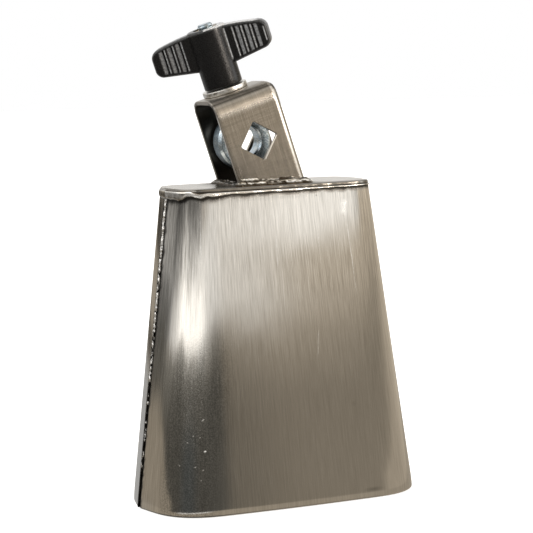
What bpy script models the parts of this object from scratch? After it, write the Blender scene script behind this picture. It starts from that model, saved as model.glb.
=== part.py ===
"""Cowbell with a rod clamp: welded sheet-steel bell, bent strap bracket,
eye bolt and wing nut.  Metres, +Z up, origin at the centre of the mouth,
wide front face towards -Y."""

import math

import bmesh
import bpy
from mathutils import Matrix, Vector

# ---------------------------------------------------------------- bell body
BELL_HEIGHT = 0.1143          # mouth to top of the cap plate
SHEET = 0.0015                # sheet thickness of the bell halves
MOUTH_RIDGE = 0.0531          # half width at the side seams, mouth
TOP_RIDGE = 0.0379            # half width at the side seams, top
MOUTH_CORNER_X = 0.0476       # corner of the six-sided section, mouth
TOP_CORNER_X = 0.0358
MOUTH_CORNER_Y = 0.02784
TOP_CORNER_Y = 0.01682
MOUTH_BEND = 0.01845          # bend radius of the corners, mouth
TOP_BEND = 0.00813
MOUTH_CROWN = 0.0009          # outward crown of the wide faces
TOP_CROWN = 0.0003
MOUTH_TRIM = 0.002            # sheet cut off to flatten the mouth
GAP = 0.0003                  # gap between touching pieces
SEAM_BEAD = 0.00056           # radius of the side seam bead
SEAM_PROUD = 0.0002           # how far that bead stands out of the ridge
PLATE_THICKNESS = 0.0015
PLATE_EDGE = 0.0004           # edge rounding of the cap plate
TOP_WELD_HEIGHT = 0.0022
TOP_WELD_BULGE = 0.00025

# ------------------------------------------------------------ clamp bracket
LEAN = math.radians(17.2)     # the strap leans to -X
FOOT_X = -0.00095             # centre of the strap's foot on the cap plate
STRAP_WIDTH = 0.0249
STRAP_DEPTH = 0.0219          # outside to outside, front to back
STRAP_THICKNESS = 0.0015
STRAP_BEND = 0.0046           # outer bend radius
STRAP_TOP = 0.0355            # height of the outer top above the foot centre
STRAP_EDGE = 0.0003
ROD_HOLE_X = -0.0002          # square rod hole, standing on its corner
ROD_HOLE_H = 0.01665
ROD_HOLE_SIDE = 0.01027
FOOT_WELD = 0.00155           # radius of the foot beads

# ------------------------------------------------------- bolt, washer, nut
BOLT_X = -0.0014              # bolt axis in the strap's own frame
BOLT_Y = 0.0030
SHANK = 0.0030                # M6
EYE_INNER = 0.0058
EYE_OUTER = 0.0101
EYE_THICKNESS = 0.0070
EYE_EDGE = 0.0009
BOLT_TIP = 0.0610
WASHER_OUTER = 0.0082
WASHER_INNER = 0.0034
WASHER_THICKNESS = 0.0016
HUB_RADIUS = 0.0071
HUB_TOP = 0.0595
HUB_BORE = 0.0049
WING_TURN = math.radians(-30.0)
WING_HALF = 0.0217
WING_THICKNESS = 0.0066
WING_EDGE = 0.0010
INSERT_OUTER = 0.0046
INSERT_INNER = 0.0033

for old in list(bpy.data.objects):
    bpy.data.objects.remove(old, do_unlink=True)

scene = bpy.context.scene
parts = bpy.data.collections.new("cowbell")
cutters = bpy.data.collections.new("cowbell_cutters")
scene.collection.children.link(parts)
scene.collection.children.link(cutters)


def material(name, colour, roughness, metallic):
    mat = bpy.data.materials.new(name)
    mat.use_nodes = True
    shader = mat.node_tree.nodes["Principled BSDF"]
    shader.inputs["Base Color"].default_value = (*colour, 1.0)
    shader.inputs["Roughness"].default_value = roughness
    shader.inputs["Metallic"].default_value = metallic
    mat.diffuse_color = (*colour, 1.0)
    return mat


BRUSHED = (0.46, 0.42, 0.36)
WELD = (0.27, 0.24, 0.20)
ZINC = (0.62, 0.68, 0.72)
STEEL = (0.66, 0.64, 0.60)
BRASS = (0.62, 0.47, 0.20)
BLACK = (0.02, 0.02, 0.02)


def empty(name, location, turn=(0.0, 0.0, 0.0), parent=None):
    obj = bpy.data.objects.new(name, None)
    obj.empty_display_size = 0.01
    obj.location = location
    obj.rotation_euler = turn
    obj.parent = parent
    obj.hide_render = True
    parts.objects.link(obj)
    return obj


def place(name, data, mat=None, parent=None, cutter=False):
    obj = bpy.data.objects.new(name, data)
    obj.parent = parent
    (cutters if cutter else parts).objects.link(obj)
    if cutter:
        obj.hide_render = True
        obj.display_type = "WIRE"
    if mat is not None:
        data.materials.append(mat)
    return obj


def smooth(obj, angle=40.0):
    obj.data.shade_smooth()
    obj.data.set_sharp_from_angle(angle=math.radians(angle))


def boolean(obj, operation, other):
    mod = obj.modifiers.new(operation.lower() + "_" + other.name, "BOOLEAN")
    mod.operation = operation
    mod.solver = "EXACT"
    mod.object = other


def turned(name, profile, steps, mat=None, parent=None, ring=False, cutter=False):
    """Solid of revolution about the local Z axis.  The profile lists
    (radius, height) down the outer side; a ring's profile is closed."""
    mesh = bpy.data.meshes.new(name)
    count = len(profile)
    edges = [(i, i + 1) for i in range(count - 1)]
    if ring:
        edges.append((count - 1, 0))
    mesh.from_pydata([(r, 0.0, h) for r, h in profile], edges, [])
    obj = place(name, mesh, mat, parent, cutter)
    screw = obj.modifiers.new("turn", "SCREW")
    screw.axis = "Z"
    screw.angle = math.tau
    screw.steps = steps
    screw.render_steps = steps
    screw.use_merge_vertices = True
    screw.merge_threshold = 0.00001
    screw.use_smooth_shade = True
    return obj


def curve_to_mesh(name, curve, mat, parent, matrix=Matrix()):
    """A curve's evaluated surface as a welded mesh, placed by matrix
    in its parent's frame."""
    temp = bpy.data.objects.new(name + "_curve", curve)
    cutters.objects.link(temp)
    bpy.context.view_layer.update()
    graph = bpy.context.evaluated_depsgraph_get()
    mesh = bpy.data.meshes.new_from_object(temp.evaluated_get(graph))
    bpy.data.objects.remove(temp, do_unlink=True)
    bm = bmesh.new()
    bm.from_mesh(mesh)
    bmesh.ops.remove_doubles(bm, verts=bm.verts, dist=0.000002)
    bmesh.ops.transform(bm, matrix=matrix, verts=bm.verts)
    bmesh.ops.recalc_face_normals(bm, faces=bm.faces)
    bm.to_mesh(mesh)
    bm.free()
    mesh.name = name
    mesh.materials.clear()
    return place(name, mesh, mat, parent)


def flat_curve(name, outlines, half, edge=0.0, edge_steps=1):
    """2D outlines filled on both sides, half the thickness each way, with
    the edges rounded inside the outline."""
    curve = bpy.data.curves.new(name, "CURVE")
    curve.dimensions = "2D"
    curve.fill_mode = "BOTH"
    curve.extrude = half - edge
    curve.bevel_depth = edge
    curve.bevel_resolution = edge_steps
    curve.offset = -edge
    for outline in outlines:
        spline = curve.splines.new("POLY")
        spline.points.add(len(outline) - 1)
        for point, (x, y) in zip(spline.points, outline):
            point.co = (x, y, 0.0, 1.0)
        spline.use_cyclic_u = True
    return curve


def bead_curve(name, path, radius, swell):
    """Round bead along a path, its radius swelling and thinning."""
    curve = bpy.data.curves.new(name, "CURVE")
    curve.dimensions = "3D"
    curve.bevel_depth = radius
    curve.bevel_resolution = 2
    curve.use_fill_caps = True
    spline = curve.splines.new("POLY")
    spline.points.add(len(path) - 1)
    for i, (point, co) in enumerate(zip(spline.points, path)):
        point.co = (*co, 1.0)
        point.radius = 1.0 - swell * (0.5 + 0.5 * math.sin(2.3 * i))
    return curve


def mix(a, b, t):
    return a + (b - a) * t


def corner_arc(before, corner, after, radius, steps):
    """Points of the arc that rounds a corner between two straight lines."""
    u = (before - corner).normalized()
    w = (after - corner).normalized()
    angle = u.angle(w)
    centre = corner + (u + w).normalized() * (radius / math.sin(angle / 2))
    start = corner + u * (radius / math.tan(angle / 2)) - centre
    end = corner + w * (radius / math.tan(angle / 2)) - centre
    a0 = math.atan2(start.y, start.x)
    turn = math.atan2(end.y, end.x) - a0
    turn = (turn + math.pi) % math.tau - math.pi
    return [centre + radius * Vector((math.cos(a0 + turn * k / steps),
                                      math.sin(a0 + turn * k / steps)))
            for k in range(steps + 1)]


def half_section(t, seam):
    """Front half of the bell's section at height t (0 mouth, 1 top), from
    the left seam round to the right one; seam is the half gap there."""
    a = mix(MOUTH_RIDGE, TOP_RIDGE, t)
    b = mix(MOUTH_CORNER_Y, TOP_CORNER_Y, t)
    c = mix(MOUTH_CORNER_X, TOP_CORNER_X, t)
    crown = mix(MOUTH_CROWN, TOP_CROWN, t)
    ridge = Vector((-a, 0.0))
    corner = Vector((-c, -b))
    start = ridge + (corner - ridge) * (seam / b)
    arc = corner_arc(ridge, corner, Vector((c, -b)), mix(MOUTH_BEND, TOP_BEND, t), 8)
    half = [start, (start + arc[0]) / 2] + arc
    reach = half[-1].x
    half += [Vector((reach * (1 - k / 4), -b)) for k in range(1, 4)]
    half = [Vector((p.x, p.y - crown * math.cos(math.pi * p.x / (2 * c)) ** 2
                    if abs(p.x) < c else p.y)) for p in half]
    middle = [Vector((0.0, -b - crown))]
    return half + middle + [Vector((-p.x, p.y)) for p in reversed(half)]


def full_section(t):
    """Closed section of the bell at height t."""
    front = half_section(t, 0.0)[:-1]
    return front + [-p for p in front]


def loft(name, rows, closed, mat):
    """Open sheet through rows of points, each row a (points, z) pair."""
    bm = bmesh.new()
    grid = [[bm.verts.new((p.x, p.y, z)) for p in points] for points, z in rows]
    across = len(grid[0])
    for lower, upper in zip(grid, grid[1:]):
        for i in range(across if closed else across - 1):
            j = (i + 1) % across
            bm.faces.new((lower[i], lower[j], upper[j], upper[i]))
    mesh = bpy.data.meshes.new(name)
    bm.to_mesh(mesh)
    bm.free()
    obj = place(name, mesh, mat)
    smooth(obj)
    return obj


def thicken(obj, thickness):
    solid = obj.modifiers.new("sheet", "SOLIDIFY")
    solid.thickness = thickness
    solid.offset = -1.0
    solid.use_even_offset = True
    solid.use_rim = True


# ------------------------------------------------------------- bell halves
weld_top = BELL_HEIGHT - PLATE_THICKNESS - GAP
weld_bottom = weld_top - TOP_WELD_HEIGHT
shell_top = weld_bottom - GAP
seam_half = SEAM_BEAD + GAP


bpy.ops.mesh.primitive_cube_add(size=1.0)
mouth_cut = bpy.context.object
mouth_cut.name = "mouth_cutter"
mouth_cut.data.transform(Matrix.Diagonal((0.2, 0.2, 0.02, 1.0)))
mouth_cut.location = (0.0, 0.0, -0.01)
for group in list(mouth_cut.users_collection):
    group.objects.unlink(mouth_cut)
cutters.objects.link(mouth_cut)
mouth_cut.hide_render = True
mouth_cut.display_type = "WIRE"


def shell(name, turn):
    """One bell half: bent sheet, its mouth edge cut flat."""
    heights = [mix(-MOUTH_TRIM, shell_top, k / 4) for k in range(5)]
    rows = [(half_section(z / BELL_HEIGHT, seam_half), z) for z in heights]
    obj = loft(name, rows, False, material(name, BRUSHED, 0.3, 1.0))
    obj.rotation_euler = (0.0, 0.0, turn)
    thicken(obj, SHEET)
    boolean(obj, "DIFFERENCE", mouth_cut)
    return obj


shell("front_shell", 0.0)
shell("rear_shell", math.pi)

# ------------------------------------------- side seams, top seam, cap plate


def side_seam(name, side):
    count = 36
    path = []
    for k in range(count):
        z = mix(SEAM_BEAD, shell_top - SEAM_BEAD, k / (count - 1))
        ridge = mix(MOUTH_RIDGE, TOP_RIDGE, z / BELL_HEIGHT)
        path.append((side * (ridge - SEAM_BEAD + SEAM_PROUD), 0.0, z))
    curve = bead_curve(name, path, SEAM_BEAD, 0.18)
    return curve_to_mesh(name, curve, material(name, WELD, 0.5, 1.0), None)


side_seam("left_seam_weld", -1.0)
side_seam("right_seam_weld", 1.0)


def swollen(points, extra):
    """Outline pushed out from its middle by about extra."""
    return [p + p.normalized() * extra for p in points]


weld_rows = []
for k in range(3):
    z = mix(weld_bottom, weld_top, k / 2)
    weld_rows.append((swollen(full_section(z / BELL_HEIGHT),
                              TOP_WELD_BULGE * math.sin(math.pi * k / 2)), z))
top_weld = loft("top_seam_weld", weld_rows, True, material("top_seam_weld", WELD, 0.45, 1.0))
thicken(top_weld, SHEET)

plate = curve_to_mesh(
    "top_plate",
    flat_curve("top_plate", [full_section(1.0)], PLATE_THICKNESS / 2, PLATE_EDGE),
    material("top_plate", BRUSHED, 0.32, 1.0), None,
    Matrix.Translation((0.0, 0.0, BELL_HEIGHT - PLATE_THICKNESS / 2)))

# ----------------------------------------------------------- clamp bracket
clamp = empty("clamp_frame", (FOOT_X, 0.0, BELL_HEIGHT), (0.0, -LEAN, 0.0))


def strap_outline():
    """Inverted U of sheet thickness, in (front-back, up)."""
    below = -0.012
    outer = []
    y = STRAP_DEPTH / 2
    corners = [(Vector((-y, below)), Vector((-y, STRAP_TOP)), Vector((y, STRAP_TOP))),
               (Vector((-y, STRAP_TOP)), Vector((y, STRAP_TOP)), Vector((y, below)))]
    for before, corner, after in corners:
        outer += corner_arc(before, corner, after, STRAP_BEND, 6)
    outer = [Vector((-y, below))] + outer + [Vector((y, below))]
    inner = []
    y -= STRAP_THICKNESS
    top = STRAP_TOP - STRAP_THICKNESS
    corners = [(Vector((-y, below)), Vector((-y, top)), Vector((y, top))),
               (Vector((-y, top)), Vector((y, top)), Vector((y, below)))]
    for before, corner, after in corners:
        inner += corner_arc(before, corner, after, STRAP_BEND - STRAP_THICKNESS, 6)
    inner = [Vector((-y, below))] + inner + [Vector((y, below))]
    return outer + list(reversed(inner))


across = Matrix(((0, 0, 1, 0), (1, 0, 0, 0), (0, 1, 0, 0), (0, 0, 0, 1)))
bracket = curve_to_mesh(
    "clamp_bracket",
    flat_curve("clamp_bracket", [strap_outline()], STRAP_WIDTH / 2, STRAP_EDGE),
    material("clamp_bracket", BRUSHED, 0.35, 1.0), clamp, across)

bpy.ops.mesh.primitive_cube_add(size=1.0)
rod_cut = bpy.context.object
rod_cut.name = "rod_hole_cutter"
rod_cut.data.transform(Matrix.Diagonal((ROD_HOLE_SIDE, 3 * STRAP_DEPTH, ROD_HOLE_SIDE, 1.0)))
rod_cut.parent = clamp
rod_cut.location = (ROD_HOLE_X, 0.0, ROD_HOLE_H)
rod_cut.rotation_euler = (0.0, math.radians(45.0), 0.0)

bpy.ops.mesh.primitive_cylinder_add(vertices=32, radius=SHANK + 0.0006, depth=0.01)
bolt_cut = bpy.context.object
bolt_cut.name = "bolt_hole_cutter"
bolt_cut.parent = clamp
bolt_cut.location = (BOLT_X, BOLT_Y, STRAP_TOP)

bpy.ops.mesh.primitive_cube_add(size=1.0)
foot_cut = bpy.context.object
foot_cut.name = "foot_cutter"
foot_cut.data.transform(Matrix.Diagonal((0.08, 0.08, 0.03, 1.0)))
foot_cut.location = (0.0, 0.0, BELL_HEIGHT + GAP - 0.015)

for cutter in (rod_cut, bolt_cut, foot_cut):
    for group in list(cutter.users_collection):
        group.objects.unlink(cutter)
    cutters.objects.link(cutter)
    cutter.hide_render = True
    cutter.display_type = "WIRE"
    boolean(bracket, "DIFFERENCE", cutter)


def foot_weld(name, side):
    count = 30
    reach = STRAP_WIDTH / 2 / math.cos(LEAN) + 0.0004
    path = []
    for k in range(count):
        x = FOOT_X + mix(-reach, reach, k / (count - 1))
        path.append((x, side * (STRAP_DEPTH / 2 + GAP + FOOT_WELD),
                     BELL_HEIGHT + GAP + FOOT_WELD))
    curve = bead_curve(name, path, FOOT_WELD, 0.16)
    return curve_to_mesh(name, curve, material(name, WELD, 0.5, 1.0), None)


foot_weld("bracket_front_weld", -1.0)
foot_weld("bracket_rear_weld", 1.0)

# ------------------------------------------------- bolt axis and its pieces
axis = empty("bolt_axis", (BOLT_X, BOLT_Y, 0.0), parent=clamp)

eye_half = EYE_THICKNESS / 2
eye = turned("eye_bolt", [
    (EYE_OUTER - EYE_EDGE, eye_half),
    (EYE_OUTER - 0.3 * EYE_EDGE, eye_half - 0.3 * EYE_EDGE),
    (EYE_OUTER, eye_half - EYE_EDGE),
    (EYE_OUTER, -eye_half + EYE_EDGE),
    (EYE_OUTER - 0.3 * EYE_EDGE, -eye_half + 0.3 * EYE_EDGE),
    (EYE_OUTER - EYE_EDGE, -eye_half),
    (EYE_INNER + EYE_EDGE, -eye_half),
    (EYE_INNER, -eye_half + EYE_EDGE),
    (EYE_INNER, eye_half - EYE_EDGE),
    (EYE_INNER + EYE_EDGE, eye_half),
], 40, material("eye_bolt", ZINC, 0.35, 1.0), axis, ring=True)
eye.location = (0.0, 0.0, ROD_HOLE_H)
eye.rotation_euler = (math.radians(90.0), 0.0, 0.0)

shank_foot = ROD_HOLE_H + (EYE_INNER + EYE_OUTER) / 2
shank = turned("eye_bolt_shank", [
    (0.0, BOLT_TIP),
    (SHANK - 0.0007, BOLT_TIP),
    (SHANK, BOLT_TIP - 0.0007),
    (SHANK, ROD_HOLE_H + EYE_OUTER + 0.0022),
    (SHANK + 0.0003, ROD_HOLE_H + EYE_OUTER + 0.0004),
    (SHANK + 0.0003, shank_foot),
    (0.0, shank_foot),
], 32, None, axis, cutter=True)
boolean(eye, "UNION", shank)

washer_bottom = STRAP_TOP + GAP
washer_top = washer_bottom + WASHER_THICKNESS
turned("flat_washer", [
    (WASHER_OUTER - 0.0002, washer_top),
    (WASHER_OUTER, washer_top - 0.0002),
    (WASHER_OUTER, washer_bottom + 0.0002),
    (WASHER_OUTER - 0.0002, washer_bottom),
    (WASHER_INNER, washer_bottom),
    (WASHER_INNER, washer_top),
], 40, material("flat_washer", STEEL, 0.3, 1.0), axis, ring=True)

hub_bottom = washer_top + GAP


def wing_outline():
    """Both wings in one outline, in (along the wings, up): arched top,
    lower edge rising outwards, rounded ends."""
    def top(x):
        return HUB_TOP - 0.00015 - 5.75 * x * x

    def low(x):
        return 0.04385 + 0.157 * x
    end = WING_HALF
    right = [Vector((0.004, low(0.004)))]
    right += corner_arc(Vector((0.0, low(0.0))), Vector((end, low(end))),
                        Vector((end, top(end))), 0.003, 6)
    right += corner_arc(Vector((end, low(end))), Vector((end, top(end))),
                        Vector((0.014, top(0.014))), 0.0033, 6)
    right += [Vector((x, top(x))) for x in (0.014, 0.0105, 0.007, 0.0035)]
    return right + [Vector((0.0, top(0.0)))] + [Vector((-p.x, p.y)) for p in reversed(right)]


upright = Matrix.Rotation(WING_TURN, 4, "Z") @ Matrix.Rotation(math.radians(90.0), 4, "X")
wing = curve_to_mesh(
    "wing_nut",
    flat_curve("wing_nut", [wing_outline()], WING_THICKNESS / 2, WING_EDGE, 2),
    material("wing_nut", BLACK, 0.35, 0.0), axis, upright)
hub = turned("wing_nut_hub", [
    (0.0, HUB_TOP),
    (HUB_RADIUS - 0.0008, HUB_TOP),
    (HUB_RADIUS, HUB_TOP - 0.0008),
    (HUB_RADIUS, hub_bottom + 0.0006),
    (HUB_RADIUS - 0.0006, hub_bottom),
    (0.0, hub_bottom),
], 40, None, axis, cutter=True)
bpy.ops.mesh.primitive_cylinder_add(vertices=32, radius=HUB_BORE, depth=0.04)
bore = bpy.context.object
bore.name = "wing_nut_bore_cutter"
for group in list(bore.users_collection):
    group.objects.unlink(bore)
cutters.objects.link(bore)
bore.parent = axis
bore.location = (0.0, 0.0, (HUB_TOP + hub_bottom) / 2)
bore.hide_render = True
bore.display_type = "WIRE"
boolean(wing, "UNION", hub)
boolean(wing, "DIFFERENCE", bore)

insert_top = HUB_TOP - 0.0004
insert_bottom = hub_bottom + 0.0002
groove = 0.0003
turned("threaded_insert", [
    (INSERT_OUTER - 0.0003, insert_top),
    (INSERT_OUTER, insert_top - 0.0003),
    (INSERT_OUTER, mix(insert_top, insert_bottom, 0.30)),
    (INSERT_OUTER - groove, mix(insert_top, insert_bottom, 0.33)),
    (INSERT_OUTER - groove, mix(insert_top, insert_bottom, 0.37)),
    (INSERT_OUTER, mix(insert_top, insert_bottom, 0.40)),
    (INSERT_OUTER, mix(insert_top, insert_bottom, 0.60)),
    (INSERT_OUTER - groove, mix(insert_top, insert_bottom, 0.63)),
    (INSERT_OUTER - groove, mix(insert_top, insert_bottom, 0.67)),
    (INSERT_OUTER, mix(insert_top, insert_bottom, 0.70)),
    (INSERT_OUTER, insert_bottom + 0.0003),
    (INSERT_OUTER - 0.0003, insert_bottom),
    (INSERT_INNER, insert_bottom),
    (INSERT_INNER, insert_top),
], 32, material("threaded_insert", BRASS, 0.35, 1.0), axis, ring=True)
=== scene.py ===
import math

import bmesh
import bpy
import numpy as np
from mathutils import Matrix, Vector, noise


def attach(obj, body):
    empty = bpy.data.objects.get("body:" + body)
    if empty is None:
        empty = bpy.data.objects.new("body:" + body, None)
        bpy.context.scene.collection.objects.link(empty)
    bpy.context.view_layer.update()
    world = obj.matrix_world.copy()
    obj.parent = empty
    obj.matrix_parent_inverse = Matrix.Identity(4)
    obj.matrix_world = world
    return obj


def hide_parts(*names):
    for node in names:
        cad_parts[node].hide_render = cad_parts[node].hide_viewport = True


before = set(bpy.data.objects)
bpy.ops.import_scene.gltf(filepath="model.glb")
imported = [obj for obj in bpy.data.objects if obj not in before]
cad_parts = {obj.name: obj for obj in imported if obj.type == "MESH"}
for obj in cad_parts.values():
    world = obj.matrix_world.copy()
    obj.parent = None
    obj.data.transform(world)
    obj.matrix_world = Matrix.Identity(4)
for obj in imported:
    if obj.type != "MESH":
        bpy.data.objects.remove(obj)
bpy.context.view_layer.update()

MM = 0.001

# ======================================================================
# Dimensions in millimetres, the same as the solid model's
# ======================================================================
HEIGHT = 114.3
SHEET = 1.5
RIDGE = (53.1, 37.9)          # half width at the side seams: mouth, top
CORNER_X = (47.6, 35.8)
CORNER_Y = (27.84, 16.82)
BEND = (18.45, 8.13)
CROWN = (0.9, 0.3)
PLATE = 1.5
SEAM_HALF = 0.92              # half width of the groove that holds the bead
LEAN = math.radians(17.2)
FOOT_X = -0.95
STRAP_WIDTH, STRAP_DEPTH, STRAP = 24.9, 21.9, 1.5
STRAP_BEND, STRAP_TOP = 4.6, 35.5
HOLE_X, HOLE_H, HOLE_SIDE = -0.2, 16.65, 10.27
BOLT_X, BOLT_Y = -1.4, 3.0
SHANK = 3.0
EYE_IN, EYE_OUT, EYE_THICK, EYE_EDGE = 5.8, 10.1, 7.0, 0.9
BOLT_TIP = 61.0
WASHER_OUT, WASHER_IN, WASHER_LOW, WASHER_HIGH = 8.2, 3.4, 35.55, 37.4
HUB_LOW, HUB_TOP, HUB_R, HUB_BORE = 37.7, 59.5, 7.1, 4.62
WING_TURN = math.radians(-30.0)
WING_HALF, WING_THICK, WING_EDGE = 21.7, 6.6, 1.0
INSERT_OUT, INSERT_IN = 4.6, 3.3

cs, sn = math.cos(LEAN), math.sin(LEAN)


def strap_to_world(p):
    """Points in the strap's own frame (x, y, h) to the bell's frame."""
    p = np.asarray(p, float)
    return np.stack([FOOT_X + p[..., 0] * cs - p[..., 2] * sn,
                     p[..., 1],
                     HEIGHT + p[..., 0] * sn + p[..., 2] * cs], -1)


def axis_to_world(p):
    """Points about the bolt's axis (x, y, h) to the bell's frame."""
    return strap_to_world(np.asarray(p, float) + np.array([BOLT_X, BOLT_Y, 0.0]))


def ramp(x, a, b):
    """0 below a, 1 above b, smooth between."""
    t = np.clip((np.asarray(x, float) - a) / (b - a), 0.0, 1.0)
    return t * t * (3.0 - 2.0 * t)


def rough(points, size, octaves=3, seed=0.0):
    """Smooth random heights, about -1 to 1, at points in mm."""
    shift = Vector((seed * 17.3, seed * 5.1, seed * 29.7))
    flat = np.asarray(points, float).reshape(-1, 3) / size
    out = np.array([noise.fractal(Vector(q) + shift, 0.9, 2.1, octaves) for q in flat])
    return out.reshape(np.asarray(points).shape[:-1])


# ======================================================================
# Mesh helpers
# ======================================================================
def mesh_object(name, verts, faces, mats, uv=None, marks=None, face_mat=None,
                sharp=None, fix=True):
    """A mesh piece from points in mm. uv is one (u, v) in mm per point and
    marks are named numbers per point that the materials read."""
    mesh = bpy.data.meshes.new(name)
    verts = np.asarray(verts, float).reshape(-1, 3)
    mesh.from_pydata((verts * MM).tolist(), [], faces)
    for mat in mats:
        mesh.materials.append(mat)
    if face_mat is not None:
        mesh.polygons.foreach_set("material_index", np.asarray(face_mat, np.int32))
    if uv is not None:
        layer = mesh.uv_layers.new(name="brush")
        loops = np.zeros(len(mesh.loops), np.int32)
        mesh.loops.foreach_get("vertex_index", loops)
        layer.data.foreach_set("uv", (np.asarray(uv, float).reshape(-1, 2)[loops] * MM).ravel())
    for key, values in (marks or {}).items():
        layer = mesh.attributes.new(key, "FLOAT", "POINT")
        layer.data.foreach_set("value", np.asarray(values, np.float32).ravel())
    if fix:
        bm = bmesh.new()
        bm.from_mesh(mesh)
        bmesh.ops.recalc_face_normals(bm, faces=bm.faces)
        bm.to_mesh(mesh)
        bm.free()
    mesh.shade_smooth()
    if sharp is not None:
        mesh.set_sharp_from_angle(angle=math.radians(sharp))
    mesh.validate()
    obj = bpy.data.objects.new(name, mesh)
    bpy.context.scene.collection.objects.link(obj)
    return obj


def grid_faces(rows, cols, wrap_rows=False, wrap_cols=False, base=0):
    """Quads over a rows x cols block of points."""
    faces = []
    for i in range(rows if wrap_rows else rows - 1):
        i2 = (i + 1) % rows
        for j in range(cols if wrap_cols else cols - 1):
            j2 = (j + 1) % cols
            faces.append((base + i * cols + j, base + i * cols + j2,
                          base + i2 * cols + j2, base + i2 * cols + j))
    return faces


def lathe(profile, segments):
    """Turned ring: closed (radius, height) profile about the Z axis."""
    ang = np.linspace(0.0, math.tau, segments, endpoint=False)
    prof = np.asarray(profile, float)
    pts = np.stack([prof[:, None, 0] * np.cos(ang), prof[:, None, 0] * np.sin(ang),
                    np.repeat(prof[:, 1:2], segments, 1)], -1)
    return pts, grid_faces(len(prof), segments, True, True)


def round_profile(corners, steps=5):
    """Closed profile with each corner (x, y, radius) rounded."""
    out = []
    n = len(corners)
    for i, (x, y, r) in enumerate(corners):
        p = Vector((x, y))
        a, b = Vector(corners[i - 1][:2]), Vector(corners[(i + 1) % n][:2])
        out += [tuple(q) for q in (corner_arc(a, p, b, r, steps) if r > 0 else [p])]
    return out


def corner_arc(before, corner, after, radius, steps):
    """Points of the arc that rounds a corner between two straight lines."""
    radius = float(radius)
    u = (before - corner).normalized()
    w = (after - corner).normalized()
    angle = u.angle(w)
    centre = corner + (u + w).normalized() * (radius / math.sin(angle / 2))
    start = corner + u * (radius / math.tan(angle / 2)) - centre
    end = corner + w * (radius / math.tan(angle / 2)) - centre
    a0 = math.atan2(start.y, start.x)
    turn = math.atan2(end.y, end.x) - a0
    turn = (turn + math.pi) % math.tau - math.pi
    return [centre + radius * Vector((math.cos(a0 + turn * k / steps),
                                      math.sin(a0 + turn * k / steps)))
            for k in range(steps + 1)]


def mix(pair, t):
    return pair[0] + (pair[1] - pair[0]) * t


# ======================================================================
# Materials
# ======================================================================
class Finish:
    """A node material on one Principled shader."""

    def __init__(self, name, metallic, roughness, colour, **sockets):
        self.mat = bpy.data.materials.new(name)
        self.mat.use_nodes = True
        self.nodes, self.links = self.mat.node_tree.nodes, self.mat.node_tree.links
        self.shader = self.nodes["Principled BSDF"]
        self.set("Metallic", metallic)
        self.set("Roughness", roughness)
        self.set("Base Color", (*colour, 1.0))
        for key, value in sockets.items():
            self.set(key.replace("_", " "), value)

    def set(self, socket, value):
        self.shader.inputs[socket].default_value = value

    def feed(self, socket, output):
        self.links.new(output, self.shader.inputs[socket])

    def node(self, kind, inputs=(), **props):
        n = self.nodes.new("ShaderNode" + kind)
        for key, value in props.items():
            setattr(n, key, value)
        for key, value in dict(inputs).items():
            if hasattr(value, "is_output"):
                self.links.new(value, n.inputs[key])
            else:
                n.inputs[key].default_value = value
        return n

    def math(self, op, a, b=0.0, c=0.0, clamp=False):
        return self.node("Math", {0: a, 1: b, 2: c}, operation=op, use_clamp=clamp).outputs[0]

    def brush(self, across, along, shift=0.0):
        """The brush map in mm, scaled: u across the hairlines, v along."""
        uv = self.node("UVMap", uv_map="brush").outputs[0]
        return self.node("Mapping", {"Vector": uv, "Location": (shift, shift * 0.7, shift * 1.3),
                                     "Scale": (across * 1000.0, along * 1000.0, 1.0)}).outputs[0]

    def place(self, scale, shift=0.0):
        """Object coordinates, one unit per mm times scale."""
        co = self.node("TexCoord").outputs["Object"]
        return self.node("Mapping", {"Vector": co, "Location": (shift, shift, shift),
                                     "Scale": (scale * 1000.0,) * 3}).outputs[0]

    def noise(self, vector, detail=2.0, roughness=0.5, distortion=0.0):
        return self.node("TexNoise", {"Vector": vector, "Scale": 1.0, "Detail": detail,
                                      "Roughness": roughness, "Distortion": distortion}).outputs["Fac"]

    def mark(self, key):
        return self.node("Attribute", attribute_name=key).outputs["Fac"]

    def span(self, value, low, high, to_low, to_high):
        return self.node("MapRange", {"Value": value, "From Min": low, "From Max": high,
                                      "To Min": to_low, "To Max": to_high}, clamp=True).outputs["Result"]

    def blend(self, factor, a, b, mode="MIX"):
        n = self.node("Mix", data_type="RGBA", blend_type=mode)
        for key, value in ((0, factor), (6, a), (7, b)):
            if hasattr(value, "is_output"):
                self.links.new(value, n.inputs[key])
            else:
                n.inputs[key].default_value = value if key == 0 else (*value, 1.0)
        return n.outputs[2]

    def bump(self, height, strength, distance, under=None):
        inputs = {"Height": height, "Strength": strength, "Distance": distance * MM}
        if under is not None:
            inputs["Normal"] = under
        return self.node("Bump", inputs).outputs["Normal"]

    def tangent(self):
        self.feed("Tangent", self.node("Tangent", direction_type="UV_MAP", uv_map="brush").outputs[0])


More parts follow.
